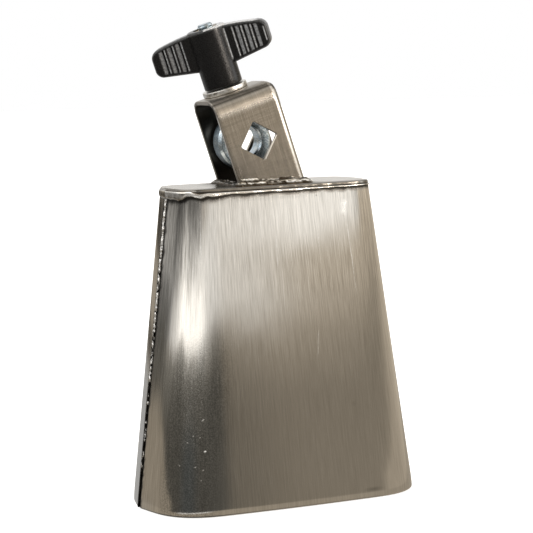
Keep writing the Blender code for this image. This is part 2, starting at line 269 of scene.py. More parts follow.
def brushed_steel(name, colour, dark, shift, rough_range, hair=1.0, grain=0.95, cross=0.0, scratches_and_highlights=(), dings=(), smudges=()):
    """Plated sheet brushed along v: hairlines of three widths in colour,
    roughness and relief, faint clouds, soot beside the welds, and painted
    shade under the lip, over the strap's bend, between its cheeks and on the
    cap plate's edge, which the same mark carries."""
    f = Finish(name, 1.0, 0.12, colour, Anisotropic=grain)
    f.tangent()
    wide = f.noise(f.brush(0.45, 0.014, shift), 2.0, 0.6)
    middle = f.noise(f.brush(1.5, 0.040, shift + 3.1), 3.0, 0.7)
    fine = f.noise(f.brush(2.8, 0.090, shift + 7.7), 2.0, 0.65)
    cloud = f.noise(f.place(0.045, shift), 3.0, 0.55)
    streak = f.math("ADD", f.math("MULTIPLY", wide, 0.12),
                    f.math("ADD", f.math("MULTIPLY", middle, 0.37), f.math("MULTIPLY", fine, 0.51)))
    tone = f.math("ADD", f.math("MULTIPLY", f.span(streak, 0.36, 0.64, -0.5, 0.5), f.mark("grain")),
                  f.span(cloud, 0.3, 0.7, -0.10, 0.10))
    if cross:
        over = f.noise(f.brush(0.06, 2.4, shift + 15.0), 3.0, 0.65)
        tone = f.math("ADD", tone, f.span(over, 0.36, 0.64, -0.5 * cross, 0.5 * cross))
    base = f.blend(f.span(tone, -0.9, 0.9, 0.0, 1.0), dark, colour)
    relief = f.math("ADD", f.math("MULTIPLY", middle, 1.2), f.math("MULTIPLY", fine, 0.7))
    speck = f.span(f.noise(f.place(1.9, shift + 13.0), 2.0, 0.6), 0.38, 0.62, 0.0, 0.55)
    base = f.blend(f.math("MULTIPLY", speck, f.mark("pits")), base, (0.24, 0.225, 0.20))
    lines = f.span(f.noise(f.brush(1.7, 0.07, shift + 23.0), 3.0, 0.65), 0.42, 0.60, 0.0, 0.6)
    base = f.blend(f.math("MULTIPLY", lines, f.mark("streaks")), base, (0.20, 0.185, 0.16))
    rough_now = f.span(f.math("ADD", streak, f.math("MULTIPLY", cloud, 0.35)), 0.5, 0.85,
                       rough_range[0], rough_range[1])
    uv = f.node("SeparateXYZ", {"Vector": f.brush(1.0, 1.0)}).outputs if (scratches_and_highlights or dings or smudges) else None
    # bright lines: scratches, and on the front shell also a painted highlight
    for u0, v0, u1, v1, width, power in scratches_and_highlights:
        along = f.math("DIVIDE", f.math("SUBTRACT", uv[1], v0), v1 - v0)
        off = f.math("SUBTRACT", uv[0], f.math("ADD", f.math("MULTIPLY", along, u1 - u0), u0))
        wander = f.math("MULTIPLY", f.math("SUBTRACT", f.noise(f.brush(0.0, 0.2, shift + u0), 2.0), 0.5), 0.5)
        near = f.span(f.math("ABSOLUTE", f.math("ADD", off, wander)), 0.0, width, 1.0, 0.0)
        ends = f.math("MULTIPLY", f.span(along, 0.0, 0.2, 0.0, 1.0), f.span(along, 0.75, 1.0, 1.0, 0.0))
        line = f.math("MULTIPLY", f.math("MULTIPLY", near, ends),
                      f.span(f.noise(f.brush(0.3, 0.5, shift + 1.7 * u0), 2.0), 0.35, 0.6, 0.3, 1.0))
        base = f.blend(f.math("MULTIPLY", line, power), base, (1.0, 0.99, 0.96))
        rough_now = f.math("ADD", rough_now, f.math("MULTIPLY", line, 0.12 * power))
        relief = f.math("ADD", relief, f.math("MULTIPLY", line, 1.0))
    for u0, v0, size in dings:
        du = f.math("SUBTRACT", uv[0], u0)
        dv = f.math("MULTIPLY", f.math("SUBTRACT", uv[1], v0), 0.8)
        slant = f.math("ADD", du, f.math("MULTIPLY", dv, 0.9 * math.sin(7.0 * u0 + v0)))
        dist = f.math("SQRT", f.math("ADD", f.math("MULTIPLY", slant, slant), f.math("MULTIPLY", dv, dv)))
        spot = f.span(dist, 0.2 * size, size, 1.0, 0.0)
        base = f.blend(f.math("MULTIPLY", spot, 0.3), base, (1.0, 0.98, 0.94))
        rough_now = f.math("ADD", rough_now, f.math("MULTIPLY", spot, 0.10))
        relief = f.math("ADD", relief, f.math("MULTIPLY", spot, 6.0))
    for u0, v0, half_u, half_v, power in smudges:
        du = f.math("DIVIDE", f.math("SUBTRACT", uv[0], u0), half_u)
        dv = f.math("DIVIDE", f.math("SUBTRACT", uv[1], v0), half_v)
        dist = f.math("SQRT", f.math("ADD", f.math("MULTIPLY", du, du), f.math("MULTIPLY", dv, dv)))
        base = f.blend(f.math("MULTIPLY", f.span(dist, 0.1, 1.0, 1.0, 0.0), power), base, (0.10, 0.092, 0.08))
    # soot beside the welds and painted shade come from one mark: it takes the colour nearly to black
    base = f.blend(f.math("MULTIPLY", f.mark("soot_and_painted_shade"), 0.97), base, (0.010, 0.008, 0.006))
    f.feed("Base Color", base)
    rough_now = f.math("ADD", rough_now, f.math("MULTIPLY", f.mark("worn"), 0.14))
    f.feed("Roughness", f.math("ADD", rough_now, f.math("MULTIPLY", f.mark("soot_and_painted_shade"), 0.2)))
    f.feed("Normal", f.bump(relief, f.math("MULTIPLY", f.mark("hair"), hair), 0.006))
    return f.mat


def weld_metal(name, shift, grain_size, light, mid, dark, dull=0.0, relief=0.3):
    """Fused bead: smooth bright crests, brown oxide in the dips."""
    f = Finish(name, 1.0, 0.2, mid)
    spots = f.noise(f.place(0.45 * grain_size, shift), 3.0, 0.55)
    grain = f.noise(f.place(2.2 * grain_size, shift + 4.0), 3.0, 0.6)
    crest = f.mark("crest")
    base = f.blend(f.span(spots, 0.35, 0.62, 0.0, 1.0), mid, light)
    base = f.blend(f.span(crest, 0.05, 0.75, 1.0, 0.0), base, dark)
    f.feed("Base Color", base)
    f.feed("Roughness", f.span(f.math("ADD", spots, f.math("MULTIPLY", grain, 0.5)), 0.5, 1.0,
                               0.10 + dull, 0.30 + dull))
    f.feed("Normal", f.bump(f.math("ADD", spots, f.math("MULTIPLY", grain, 0.3)), relief, 0.12))
    return f.mat


def zinc_plate(name):
    """Bluish bright zinc over a pressed, slightly pebbled surface."""
    f = Finish(name, 1.0, 0.25, (0.62, 0.70, 0.76))
    cloud = f.noise(f.place(0.35, 2.0), 3.0, 0.6)
    pebble = f.noise(f.place(2.6, 9.0), 3.0, 0.6)
    base = f.blend(f.span(cloud, 0.35, 0.65, 0.0, 1.0), (0.42, 0.52, 0.60), (0.74, 0.80, 0.82))
    pits = f.span(f.noise(f.place(1.9, 21.0), 3.0, 0.6), 0.42, 0.62, 1.0, 0.35)
    base = f.blend(f.math("MULTIPLY", f.mark("dull"), pits), base, (0.135, 0.18, 0.21))
    f.feed("Base Color", base)
    f.feed("Roughness", f.span(f.math("ADD", pebble, f.math("MULTIPLY", f.mark("dull"), 0.35)),
                               0.3, 1.0, 0.08, 0.5))
    f.feed("Normal", f.bump(pebble, 0.35, 0.16))
    return f.mat


def washer_steel(name):
    """Bright plated washer with faint turning marks and scuffs."""
    f = Finish(name, 1.0, 0.18, (0.72, 0.70, 0.66))
    rings = f.noise(f.brush(0.02, 6.0, 1.0), 2.0, 0.5)
    scuff = f.noise(f.place(0.9, 5.0), 4.0, 0.65)
    f.feed("Base Color", f.blend(f.span(scuff, 0.35, 0.65, 0.0, 1.0), (0.60, 0.56, 0.50), (0.96, 0.95, 0.92)))
    f.feed("Roughness", f.span(f.math("ADD", rings, scuff), 0.7, 1.3, 0.24, 0.42))
    f.feed("Normal", f.bump(scuff, 0.05, 0.05))
    return f.mat


def black_plastic(name):
    """Moulded black plastic: fine skin, dust, and pale marks from the wear mark: painted highlights and painted light
    on the wings, with a little real edge wear.
    """
    f = Finish(name, 0.0, 0.3, (0.008, 0.0075, 0.0075), Specular_IOR_Level=0.42)
    skin = f.noise(f.place(3.2, 1.0), 3.0, 0.6)
    dust = f.noise(f.place(2.1, 6.0), 4.0, 0.7)
    fleck = f.span(f.noise(f.place(5.0, 11.0), 2.0, 0.5), 0.66, 0.74, 0.0, 1.0)
    # the wear mark: painted highlights on the groove edges, crease, ends and upper edges, painted light on the
    # flanks, and a little edge wear; dust mottles it
    wear = f.math("MULTIPLY", f.mark("wear"), f.span(dust, 0.34, 0.60, 0.18, 1.0))
    base = f.blend(f.span(dust, 0.3, 0.7, 0.0, 1.0), (0.002, 0.0019, 0.0019), (0.006, 0.0056, 0.0056))
    base = f.blend(wear, base, (0.71, 0.715, 0.72))
    base = f.blend(f.math("MULTIPLY", fleck, 0.06), base, (0.25, 0.24, 0.23))
    f.feed("Base Color", base)
    f.feed("Roughness", f.span(f.math("ADD", skin, f.math("MULTIPLY", dust, 0.7)), 0.55, 1.15, 0.2, 0.38))
    f.feed("Normal", f.bump(skin, 0.10, 0.06))
    return f.mat


def turned_brass(name):
    f = Finish(name, 1.0, 0.25, (0.66, 0.47, 0.19))
    tarnish = f.noise(f.place(0.8, 3.0), 4.0, 0.6)
    f.feed("Base Color", f.blend(f.span(tarnish, 0.35, 0.65, 0.0, 1.0), (0.42, 0.28, 0.11), (0.74, 0.55, 0.25)))
    f.feed("Roughness", f.span(tarnish, 0.3, 0.7, 0.2, 0.42))
    f.feed("Normal", f.bump(f.noise(f.place(4.0, 1.0), 2.0), 0.1, 0.05))
    return f.mat


def bare_inside(name):
    """Unbrushed inner side of the sheet: darker, mottled by heat."""
    f = Finish(name, 1.0, 0.4, (0.34, 0.31, 0.27))
    mottle = f.noise(f.place(0.09, 4.0), 5.0, 0.6)
    mill = f.noise(f.brush(1.2, 0.05, 5.0), 3.0, 0.6)
    f.feed("Base Color", f.blend(f.span(mottle, 0.35, 0.65, 0.0, 1.0), (0.22, 0.20, 0.175), (0.43, 0.40, 0.355)))
    f.feed("Roughness", f.span(f.math("ADD", mottle, mill), 0.7, 1.3, 0.3, 0.52))
    f.feed("Normal", f.bump(mill, 0.15, 0.08))
    return f.mat


STEEL_LIGHT, STEEL_DARK = (0.77, 0.731, 0.671), (0.478, 0.449, 0.401)
front_steel = brushed_steel("bell_steel_front", STEEL_LIGHT, STEEL_DARK, 0.0, (0.07, 0.12), scratches_and_highlights=[
    # the first two are a painted highlight where the face turns into the right bend; the rest are scratches
    (25.46, 108.5, 24.61, 99.5, 0.9, 0.8), (24.6, 108.0, 24.3, 102.0, 2.0, 0.9), (25.26, 99.5, 25.71, 91, 0.3, 0.7), (25.6, 92, 26.63, 73, 0.26, 0.8),
    (8.36, 62.6, 6.64, 51.2, 0.22, 0.7), (-35.18, 108, -34.87, 88, 0.35, 0.25), (1.95, 46, 1.12, 38, 0.18, 0.25),
    (-10.51, 104, -11.19, 92, 0.2, 0.4), (-4.68, 98, -5.32, 84, 0.2, 0.4), (12.61, 100, 12.06, 90, 0.2, 0.35)],
    dings=[(-34.69, 34, 0.32), (-37.71, 28.5, 0.2), (-35.63, 28, 0.18), (-34.21, 22.8, 0.5), (-37.03, 17.7, 0.22),
           (-34.79, 16.6, 0.2), (-41.81, 18.2, 0.2), (-35.38, 13, 0.18), (-39.49, 26.2, 0.16)],
    smudges=[(25.57, 3.2, 5.2, 1.0, 0.34), (13.36, 110, 0.4, 0.35, 0.8), (20.14, 34.6, 1.6, 1.4, 0.12)])
rear_steel = brushed_steel("bell_steel_rear", STEEL_LIGHT, STEEL_DARK, 41.0, (0.07, 0.12), scratches_and_highlights=[
    (-14.45, 88, -15.33, 66, 0.25, 0.5), (8.94, 52, 9.92, 37, 0.22, 0.4), (26.68, 96, 25.62, 80, 0.22, 0.4)],
    dings=[(31.87, 40, 0.35), (-31.37, 22, 0.35), (35.65, 15, 0.3)])
plate_steel = brushed_steel("plate_steel", (0.66, 0.625, 0.565), (0.55, 0.51, 0.455), 83.0, (0.12, 0.2))
strap_steel = brushed_steel("strap_steel", (0.92, 0.85, 0.755), (0.64, 0.588, 0.508), 127.0, (0.10, 0.14), hair=0.9, grain=0.0, cross=0.8)
inside_steel = bare_inside("bell_inside")
seam_metal = weld_metal("seam_weld_metal", 0.0, 2.0, (0.97, 0.95, 0.92), (0.78, 0.74, 0.68), (0.012, 0.010, 0.008), 0.06)
lip_metal = weld_metal("lip_weld_metal", 31.0, 0.5, (1.0, 0.985, 0.95), (0.80, 0.755, 0.68), (0.075, 0.052, 0.032))
foot_metal = weld_metal("foot_weld_metal", 57.0, 1.0, (1.0, 0.98, 0.93), (0.85, 0.78, 0.66), (0.050, 0.037, 0.024), 0.14, 0.7)
zinc = zinc_plate("zinc_plate")
washer_mat = washer_steel("washer_plate")
plastic = black_plastic("black_plastic")
brass = turned_brass("insert_brass")


# ======================================================================
# Bell halves
# ======================================================================
EDGE_STEPS = np.array([0.0, 0.1, 0.22, 0.38, 0.6, 1.0, 1.8])   # mm from the seam edge


def eased(line, sigma, spacing=0.2):
    """An open line smoothed along its length, ends kept in direction."""
    line = np.asarray(line, float)
    run = np.concatenate([[0.0], np.cumsum(np.linalg.norm(np.diff(line, axis=0), axis=1))])
    count = max(int(run[-1] / spacing), 50)
    even = np.linspace(0.0, run[-1], count + 1)
    dense = np.stack([np.interp(even, run, line[:, k]) for k in range(2)], -1)
    step = run[-1] / count
    pad = int(4 * sigma / step) + 1
    head = dense[0] + (dense[0] - dense[1]) * np.arange(pad, 0, -1)[:, None]
    tail = dense[-1] + (dense[-1] - dense[-2]) * np.arange(1, pad + 1)[:, None]
    full = np.concatenate([head, dense, tail])
    kernel = np.exp(-0.5 * (np.arange(-pad, pad + 1) * step / sigma) ** 2)
    kernel /= kernel.sum()
    soft = np.stack([np.convolve(full[:, k], kernel, "valid") for k in range(2)], -1)
    return soft


def pick(line, at):
    """Points of a line at given lengths along it, from 0 to 1 or in mm."""
    run = np.concatenate([[0.0], np.cumsum(np.linalg.norm(np.diff(line, axis=0), axis=1))])
    return np.stack([np.interp(at, run, line[:, k]) for k in range(2)], -1), run[-1]


def raw_section(t, seam):
    """Front half of the section at height t: straight flanges, round bends
    and a slightly crowned face, left seam to right seam."""
    a, b, c = mix(RIDGE, t), mix(CORNER_Y, t), mix(CORNER_X, t)
    crown = mix(CROWN, t)
    ridge, corner = Vector((-a, 0.0)), Vector((-c, -b))
    start = ridge + (corner - ridge) * float(seam / b)
    bend = corner_arc(ridge, corner, Vector((c, -b)), mix(BEND, t), 40)
    left = [start] + bend
    reach = left[-1].x
    left += [Vector((reach * (1 - k / 60), -b)) for k in range(1, 60)]
    left = [Vector((p.x, p.y - crown * math.cos(math.pi * p.x / (2 * c)) ** 2
                    if abs(p.x) < c else p.y)) for p in left]
    pts = left + [Vector((0.0, -b - crown))] + [Vector((-p.x, p.y)) for p in reversed(left)]
    return np.array([tuple(p) for p in pts])


def half_section(t, seam, ease=None, columns=150):
    """The section with its bends eased into the face, as points."""
    sigma = (mix((4.2, 2.2), t) if ease is None else ease)
    line = eased(raw_section(t, seam), sigma)
    total = pick(line, [0.0])[1]
    inner = np.linspace(EDGE_STEPS[-1], total - EDGE_STEPS[-1], columns)[1:-1]
    at = np.concatenate([EDGE_STEPS, inner, total - EDGE_STEPS[::-1]])
    return pick(line, at)[0]


def brush_across(run, t):
    """Distance across the hairlines for lengths along the section at height
    t: even lines on the face, lines along the bends and flanges."""
    def parts(t):
        a, b, c = mix(RIDGE, t), mix(CORNER_Y, t), mix(CORNER_X, t)
        turn = math.atan2(b, a - c)
        cut = mix(BEND, t) * math.tan(turn / 2)
        return math.hypot(a - c, b) - cut - SEAM_HALF, mix(BEND, t) * turn, c - cut
    now, mid = parts(t), parts(0.5)
    knots = np.cumsum([0.0, now[0], now[1], 2 * now[2], now[1], now[0]])
    marks = np.cumsum([0.0, mid[0], mid[1], 2 * mid[2], mid[1], mid[0]])
    u = np.interp(run * (knots[-1] / run[-1]), knots, marks) - marks[-1] / 2
    even = 1.0 - ramp(np.abs(u), 0.45 * mid[2], mid[2])
    return u - 0.035 * HEIGHT * (1.0 - t) * even


def full_section(t, ease, columns):
    front = half_section(t, 0.0, ease, columns)[:-1]
    return np.concatenate([front, -front])


# Lower edge of the welded lip round the top, as heights above the mouth:
# from the left ridge across the front to the right ridge (fraction of the way).
LIP_AT = np.array([0.0, 0.06, 0.10, 0.122, 0.14, 0.16, 0.185, 0.21, 0.24, 0.27, 0.30, 0.36, 0.45, 0.55, 0.65, 0.75, 0.85, 0.92, 1.0])
LIP_LOW = np.array([110.5, 110.4, 110.2, 110.6, 111.65, 111.6, 110.95, 111.5, 111.5, 111.8, 112.2, 112.05, 112.3, 112.15, 112.5, 112.6, 112.6, 112.4, 111.6])


def lip_low(frac, side):
    """Height of the lip's lower edge; side 0 is the front, 1 the rear."""
    frac = np.asarray(frac, float)
    if side:
        low = 111.7 + 0.35 * np.sin(7.0 * frac + 0.6) - 0.5 * ramp(np.abs(frac - 0.5), 0.3, 0.5)
        low = low + (110.5 - low) * ramp(frac, 0.84, 0.98)
    else:
        low = np.interp(frac, LIP_AT, LIP_LOW)
    wave = np.stack([frac * 100.0, np.zeros_like(frac) + 40.0 * side, np.zeros_like(frac)], -1)
    torn = 0.08 + (0.0 if side else 0.12 * ramp(0.27 - frac, 0.0, 0.05))
    return low + 0.22 * rough(wave, 5.0, 2, 3.0 + side) + torn * rough(wave, 1.4, 3, 9.0 + side)


def shell(name, mat, side):
    top = 112.65
    radius = 0.42
    zs = np.concatenate([[radius, 0.6, 0.85, 1.2, 1.6, 2.1, 2.7, 3.4, 4.2, 5.2],
                         np.linspace(6.4, 106.0, 72),
                         [107.2, 108.2, 109.0, 109.6, 110.1, 110.5, 110.9, 111.3, 111.7, 112.0, 112.3, top]])
    quarter = np.linspace(0.0, math.pi / 2, 5)
    loop = [(z, 0.0) for z in zs]
    loop += [(z, SHEET) for z in zs[::-1]]
    loop += [(radius - radius * math.sin(q), SHEET - radius + radius * math.cos(q)) for q in quarter[1:]]
    loop += [(radius - radius * math.cos(q), radius - radius * math.sin(q)) for q in quarter[:-1]]
    loop = np.array(loop)
    outer = len(zs)
    cols = len(half_section(0.0, SEAM_HALF))
    pts = np.zeros((len(loop), cols, 3))
    uv = np.zeros((len(loop), cols, 2))
    soot_and_painted_shade = np.zeros((len(loop), cols))
    hair = np.zeros((len(loop), cols))
    grain = np.zeros((len(loop), cols))
    pits = np.zeros((len(loop), cols))
    streaks = np.zeros((len(loop), cols))
    cache = {}
    for k, (z, deep) in enumerate(loop):
        if z not in cache:
            sec = half_section(z / HEIGHT, SEAM_HALF)
            step = np.gradient(sec, axis=0)
            out = np.stack([step[:, 1], -step[:, 0]], -1)
            out /= np.linalg.norm(out, axis=1)[:, None]
            out *= np.sign(np.sum(out * sec, 1))[:, None]
            length = np.concatenate([[0.0], np.cumsum(np.linalg.norm(np.diff(sec, axis=0), axis=1))])
            cache[z] = sec, out, length
        sec, out, length = cache[z]
        frac = length / length[-1]
        spot = np.stack([sec[:, 0], sec[:, 1] + 300.0 * side, np.full(cols, z)], -1)
        wave = 0.014 * rough(spot, 24.0, 2, 1.0)
        wave = wave - 0.10 * np.clip(1.0 - z / 9.0, 0.0, 1.0) ** 2 - 0.15 * np.clip(1.0 - z / 3.4, 0.0, 1.0) ** 2
        from_edge = np.minimum(length, length[-1] - length)
        edge = 0.42 * np.clip(1.0 - from_edge / 0.55, 0.0, 1.0) ** 2
        ragged = 0.10 * rough(spot * [1.0, 1.0, 1.0], 1.3, 3, 6.0) * np.clip(1.0 - from_edge / 0.9, 0.0, 1.0)
        is_inner = outer <= k < 2 * outer
        inset = deep * 1.006 - wave + (0.0 if is_inner else (edge + ragged) * (1.0 if k < outer else 1.0 - deep / SHEET))
        pts[k, :, :2] = sec - out * inset[:, None]
        pts[k, :, 2] = z
        uv[k, :, 0] = brush_across(length, z / HEIGHT)
        uv[k, :, 1] = z
        hair[k] = 0.5 + 0.5 * ramp(from_edge, 20.0, 45.0)
        grain[k] = 0.80 + 0.25 * ramp(z, 38.0, 55.0) + 0.85 * ramp(z, 60.0, 85.0) + 0.6 * ramp(24.0 - from_edge, 0.0, 8.0)
        pits[k] = ramp(from_edge, 11.0, 16.0) * ramp(40.0 - from_edge, 0.0, 9.0) * (1.0 - ramp(z, 40.0, 75.0)) * (k < outer) * (frac < 0.5)
        streaks[k] = ramp(from_edge, 1.0, 3.0) * ramp(24.0 - from_edge, 0.0, 9.0) * ramp(z, 72.0, 92.0) * (k < outer) * (frac < 0.5)
        low = lip_low(frac, side)
        dark = 1.25 + 0.45 * rough(spot * [1.0, 1.0, 0.0], 3.0, 3, 4.0) + 0.35 * ramp(0.3 - frac, 0.0, 0.06)
        # weld soot and painted shade in a band just under the lip
        under = np.clip(1.5 - (low - z) / dark, 0.0, 1.0) ** 1.2 * (1.0 - 0.8 * ramp(frac, 0.90, 0.96))
        # painted shadow of the lip, fading over 3.2 mm below it, full over the first half of each shell's width
        under = np.maximum(under, 0.30 * np.clip(1.0 - (low - z) / 3.2, 0.0, 1.0) * ramp(0.75 - frac, 0.0, 0.3))
        burnt = 0.62 + 0.3 * rough(spot, 2.0, 3, 8.0)
        broad = (1.6 + 3.4 * ramp(z, 91.0, 97.0)) if side else (1.1 + 1.0 * ramp(z, 48.0, 62.0))
        beside = np.clip((1.6 - from_edge / (burnt * broad)) * (0.75 if side else 1.7), 0.0, 1.0)
        soot_and_painted_shade[k] = np.clip(np.maximum(under, beside), 0.0, 1.0) if k < outer else 0.25
    if side:
        pts[..., :2] *= -1.0
    rows = len(loop)
    faces = grid_faces(rows, cols, True, False)
    tags = []
    for i in range(rows):
        tags += [1 if outer <= i < 2 * outer - 1 else 0] * (cols - 1)
    for col in (0, cols - 1):
        at = lambda r: r * cols + col
        for k in range(outer - 1):
            faces.append((at(k), at(k + 1), at(2 * outer - 2 - k), at(2 * outer - 1 - k)))
            tags.append(0)
        faces.append(tuple(at(r) for r in range(2 * outer - 1, rows)) + (at(0),))
        tags.append(0)
    obj = mesh_object(name, pts, faces, [mat, inside_steel], uv,
                      {"soot_and_painted_shade": soot_and_painted_shade, "hair": hair, "grain": grain, "pits": pits, "streaks": streaks}, tags, sharp=50)
    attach(obj, "bell")
    return obj


front = shell("front_shell_brushed", front_steel, 0)
rear = shell("rear_shell_brushed", rear_steel, 1)
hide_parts("front_shell")
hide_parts("rear_shell")


# ======================================================================
# Side seams: a ragged bead in the groove, on a wider root
# ======================================================================
def side_seam(name, side, node):
    segs, rows = 14, 420
    zs = np.linspace(0.35, 111.2, rows)
    ang = np.linspace(0.0, math.tau, segs, endpoint=False)
    ridge = RIDGE[0] + (RIDGE[1] - RIDGE[0]) * zs / HEIGHT
    seed = 2.0 if side < 0 else 12.0
    line = np.stack([np.zeros(rows), np.zeros(rows), zs], -1)
    radius = 0.66 + 0.12 * rough(line, 2.4, 3, seed) + 0.05 * rough(line, 0.9, 2, seed + 7.0)
    radius = np.maximum(radius, 0.36) * (0.86 + 0.14 * ramp(zs, 45.0, 80.0))
    radius *= ramp(zs, 0.2, 0.9) * 0.4 + 0.6
    sway = 0.13 * rough(line, 3.2, 3, seed + 1.0)
    pts = np.zeros((rows, segs, 3))
    pts[..., 0] = -(ridge - 0.40)[:, None] - radius[:, None] * np.cos(ang)
    pts[..., 1] = sway[:, None] + radius[:, None] * np.sin(ang) * 1.05
    pts[..., 2] = zs[:, None]
    lump = rough(pts * [1.0, 1.0, 0.42], 0.62, 3, seed + 2.0)
    push = np.stack([-np.cos(ang), np.sin(ang), np.zeros(segs)], -1)
    pts += push[None] * (0.15 * lump)[..., None]
    pts[..., 0] = np.maximum(pts[..., 0], -np.minimum(ridge + 0.24, RIDGE[0] + 0.03)[:, None])
    long = rough(line, 5.0, 2, seed + 3.0)[:, None]
    least = -0.46 + (0.30 * (1.0 - ramp(zs, 62.0, 80.0)) + 0.50 * (1.0 - ramp(zs, 38.0, 48.0)))[:, None] - 0.5 * long
    crest = np.clip((lump - least) / 0.25, 0.0, 1.0) * ramp(np.cos(ang), -0.4, 0.1)[None]
    root_rows = 60
    rz = np.linspace(0.6, 111.5, root_rows)
    rr = RIDGE[0] + (RIDGE[1] - RIDGE[0]) * rz / HEIGHT
    root = np.zeros((root_rows, segs, 3))
    root[..., 0] = -(rr - 1.85)[:, None] - 0.75 * np.cos(ang)
    root[..., 1] = 1.6 * np.sin(ang)
    root[..., 2] = rz[:, None]
    root += push[None] * (0.12 * rough(root, 2.0, 2, seed + 5.0))[..., None]
    verts = np.concatenate([pts.reshape(-1, 3), root.reshape(-1, 3)])
    base = rows * segs
    faces = grid_faces(rows, segs, False, True) + grid_faces(root_rows, segs, False, True, base)
    for start, count in ((0, rows), (base, root_rows)):
        faces.append(tuple(start + j for j in range(segs)))
        faces.append(tuple(start + (count - 1) * segs + j for j in range(segs)))
    marks = np.concatenate([crest.ravel(), np.full(root_rows * segs, 0.12)])
    verts[:, 0] *= -side
    obj = mesh_object(name, verts, faces, [seam_metal], None, {"crest": marks}, sharp=70)
    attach(obj, "bell")
    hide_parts(node)
    return obj


side_seam("left_seam_bead", -1, "left_seam_weld")
side_seam("right_seam_bead", 1, "right_seam_weld")


# ======================================================================
# Cap plate and the welded lip under its edge
# ======================================================================
def outline_at(t, ease, columns):
    sec = full_section(t, ease, columns)
    step = np.roll(sec, -1, 0) - np.roll(sec, 1, 0)
    out = np.stack([step[:, 1], -step[:, 0]], -1)
    out /= np.linalg.norm(out, axis=1)[:, None]
    out *= np.sign(np.sum(out * sec, 1))[:, None]
    half = len(sec) // 2
    length = np.concatenate([[0.0], np.cumsum(np.linalg.norm(np.diff(sec, axis=0), axis=1))])
    last = length[-1] + np.linalg.norm(sec[0] - sec[-1])
    frac = (length % (last / 2)) / (last / 2)
    return sec, out, frac, np.arange(len(sec)) >= half


def cap_plate():
    sec, out, frac, back = outline_at(1.0, 1.0, 240)
    n = len(sec)
    low, high = HEIGHT - PLATE, HEIGHT
    r = 0.45
    spot = np.concatenate([sec, np.zeros((n, 1))], 1)
    wear = 0.05 * rough(spot, 3.0, 3, 2.0)
    q = np.linspace(0.0, math.pi / 2, 6)
    ring = [(high, 3.0), (high, 1.4)]
    ring += [(high - r + r * math.cos(a), r - r * math.sin(a)) for a in q]
    ring += [(low + r - r * math.sin(a), r - r * math.cos(a)) for a in q]
    ring += [(low, 1.6), (low, 3.0)]
    pts = np.zeros((len(ring), n, 3))
    for k, (z, deep) in enumerate(ring):
        pts[k, :, :2] = sec - out * (deep + (wear + 0.155 * (z - low) / PLATE) * (deep < 1.0))[:, None]
        pts[k, :, 2] = z
    centre = np.mean(pts[0, :, :2], 0)
    inner = []
    for s in (0.75, 0.5, 0.25):
        ringpts = np.zeros((n, 3))
        ringpts[:, :2] = centre + (pts[0, :, :2] - centre) * s
        ringpts[:, 2] = high
        inner.append(ringpts)
    verts = np.concatenate([np.stack(inner[::-1]).reshape(-1, 3), pts.reshape(-1, 3)])
    total = len(inner) + len(ring)
    tops = verts.reshape(total, n, 3)
    flat = tops[..., 2] > high - 0.001
    tops[..., 2] -= np.where(flat, 0.03 + 0.03 * rough(tops, 12.0, 2, 5.0), 0.0)
    faces = grid_faces(total, n, False, True)
    faces.append(tuple(range(n)))
    faces.append(tuple((total - 1) * n + j for j in range(n)))
    uv = tops[..., [1, 0]].copy()
    near_x = np.abs(tops[..., 0] - FOOT_X) - 13.0
    near_y = np.abs(tops[..., 1]) - 11.0
    away = np.maximum(np.maximum(near_x, 0.7 * near_y), 0.0)
    soot_and_painted_shade = 0.9 * np.clip(1.6 - away / (2.6 + 1.0 * rough(tops, 3.0, 3, 7.0)), 0.0, 1.0)
    # painted dark reflection of the weld and strap on the plate's top near its front edge
    front = ramp(-tops[..., 1], 9.0, 15.0) * (0.35 + 0.65 * ramp(tops[..., 0], -30.0, -20.0))
    soot_and_painted_shade = np.maximum(soot_and_painted_shade, 0.62 * front * (high - tops[..., 2] < 0.3))
    # painted shade on the plate's edge and underside: darker towards the bottom of the edge, a dark line under the
    # top along the front, darker at the right end
    under = high - tops[..., 2]
    soot_and_painted_shade = np.maximum(soot_and_painted_shade, np.where(under > 0.07, 0.18 + 0.68 * ramp(under, 0.72, 1.0), 0.0))
    soot_and_painted_shade = np.maximum(soot_and_painted_shade, 0.72 * (under > 0.07) * (under < 0.40) * (tops[..., 1] < 4.0))
    soot_and_painted_shade = np.maximum(soot_and_painted_shade, 0.5 * ramp(tops[..., 0], 22.0, 28.0) * (under > 0.07))
    obj = mesh_object("cap_plate_brushed", tops, faces, [plate_steel], uv, {"soot_and_painted_shade": soot_and_painted_shade, "hair": np.full(soot_and_painted_shade.shape, 0.6), "grain": np.full(soot_and_painted_shade.shape, 0.6)}, sharp=50)
    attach(obj, "bell")
    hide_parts("top_plate")


cap_plate()


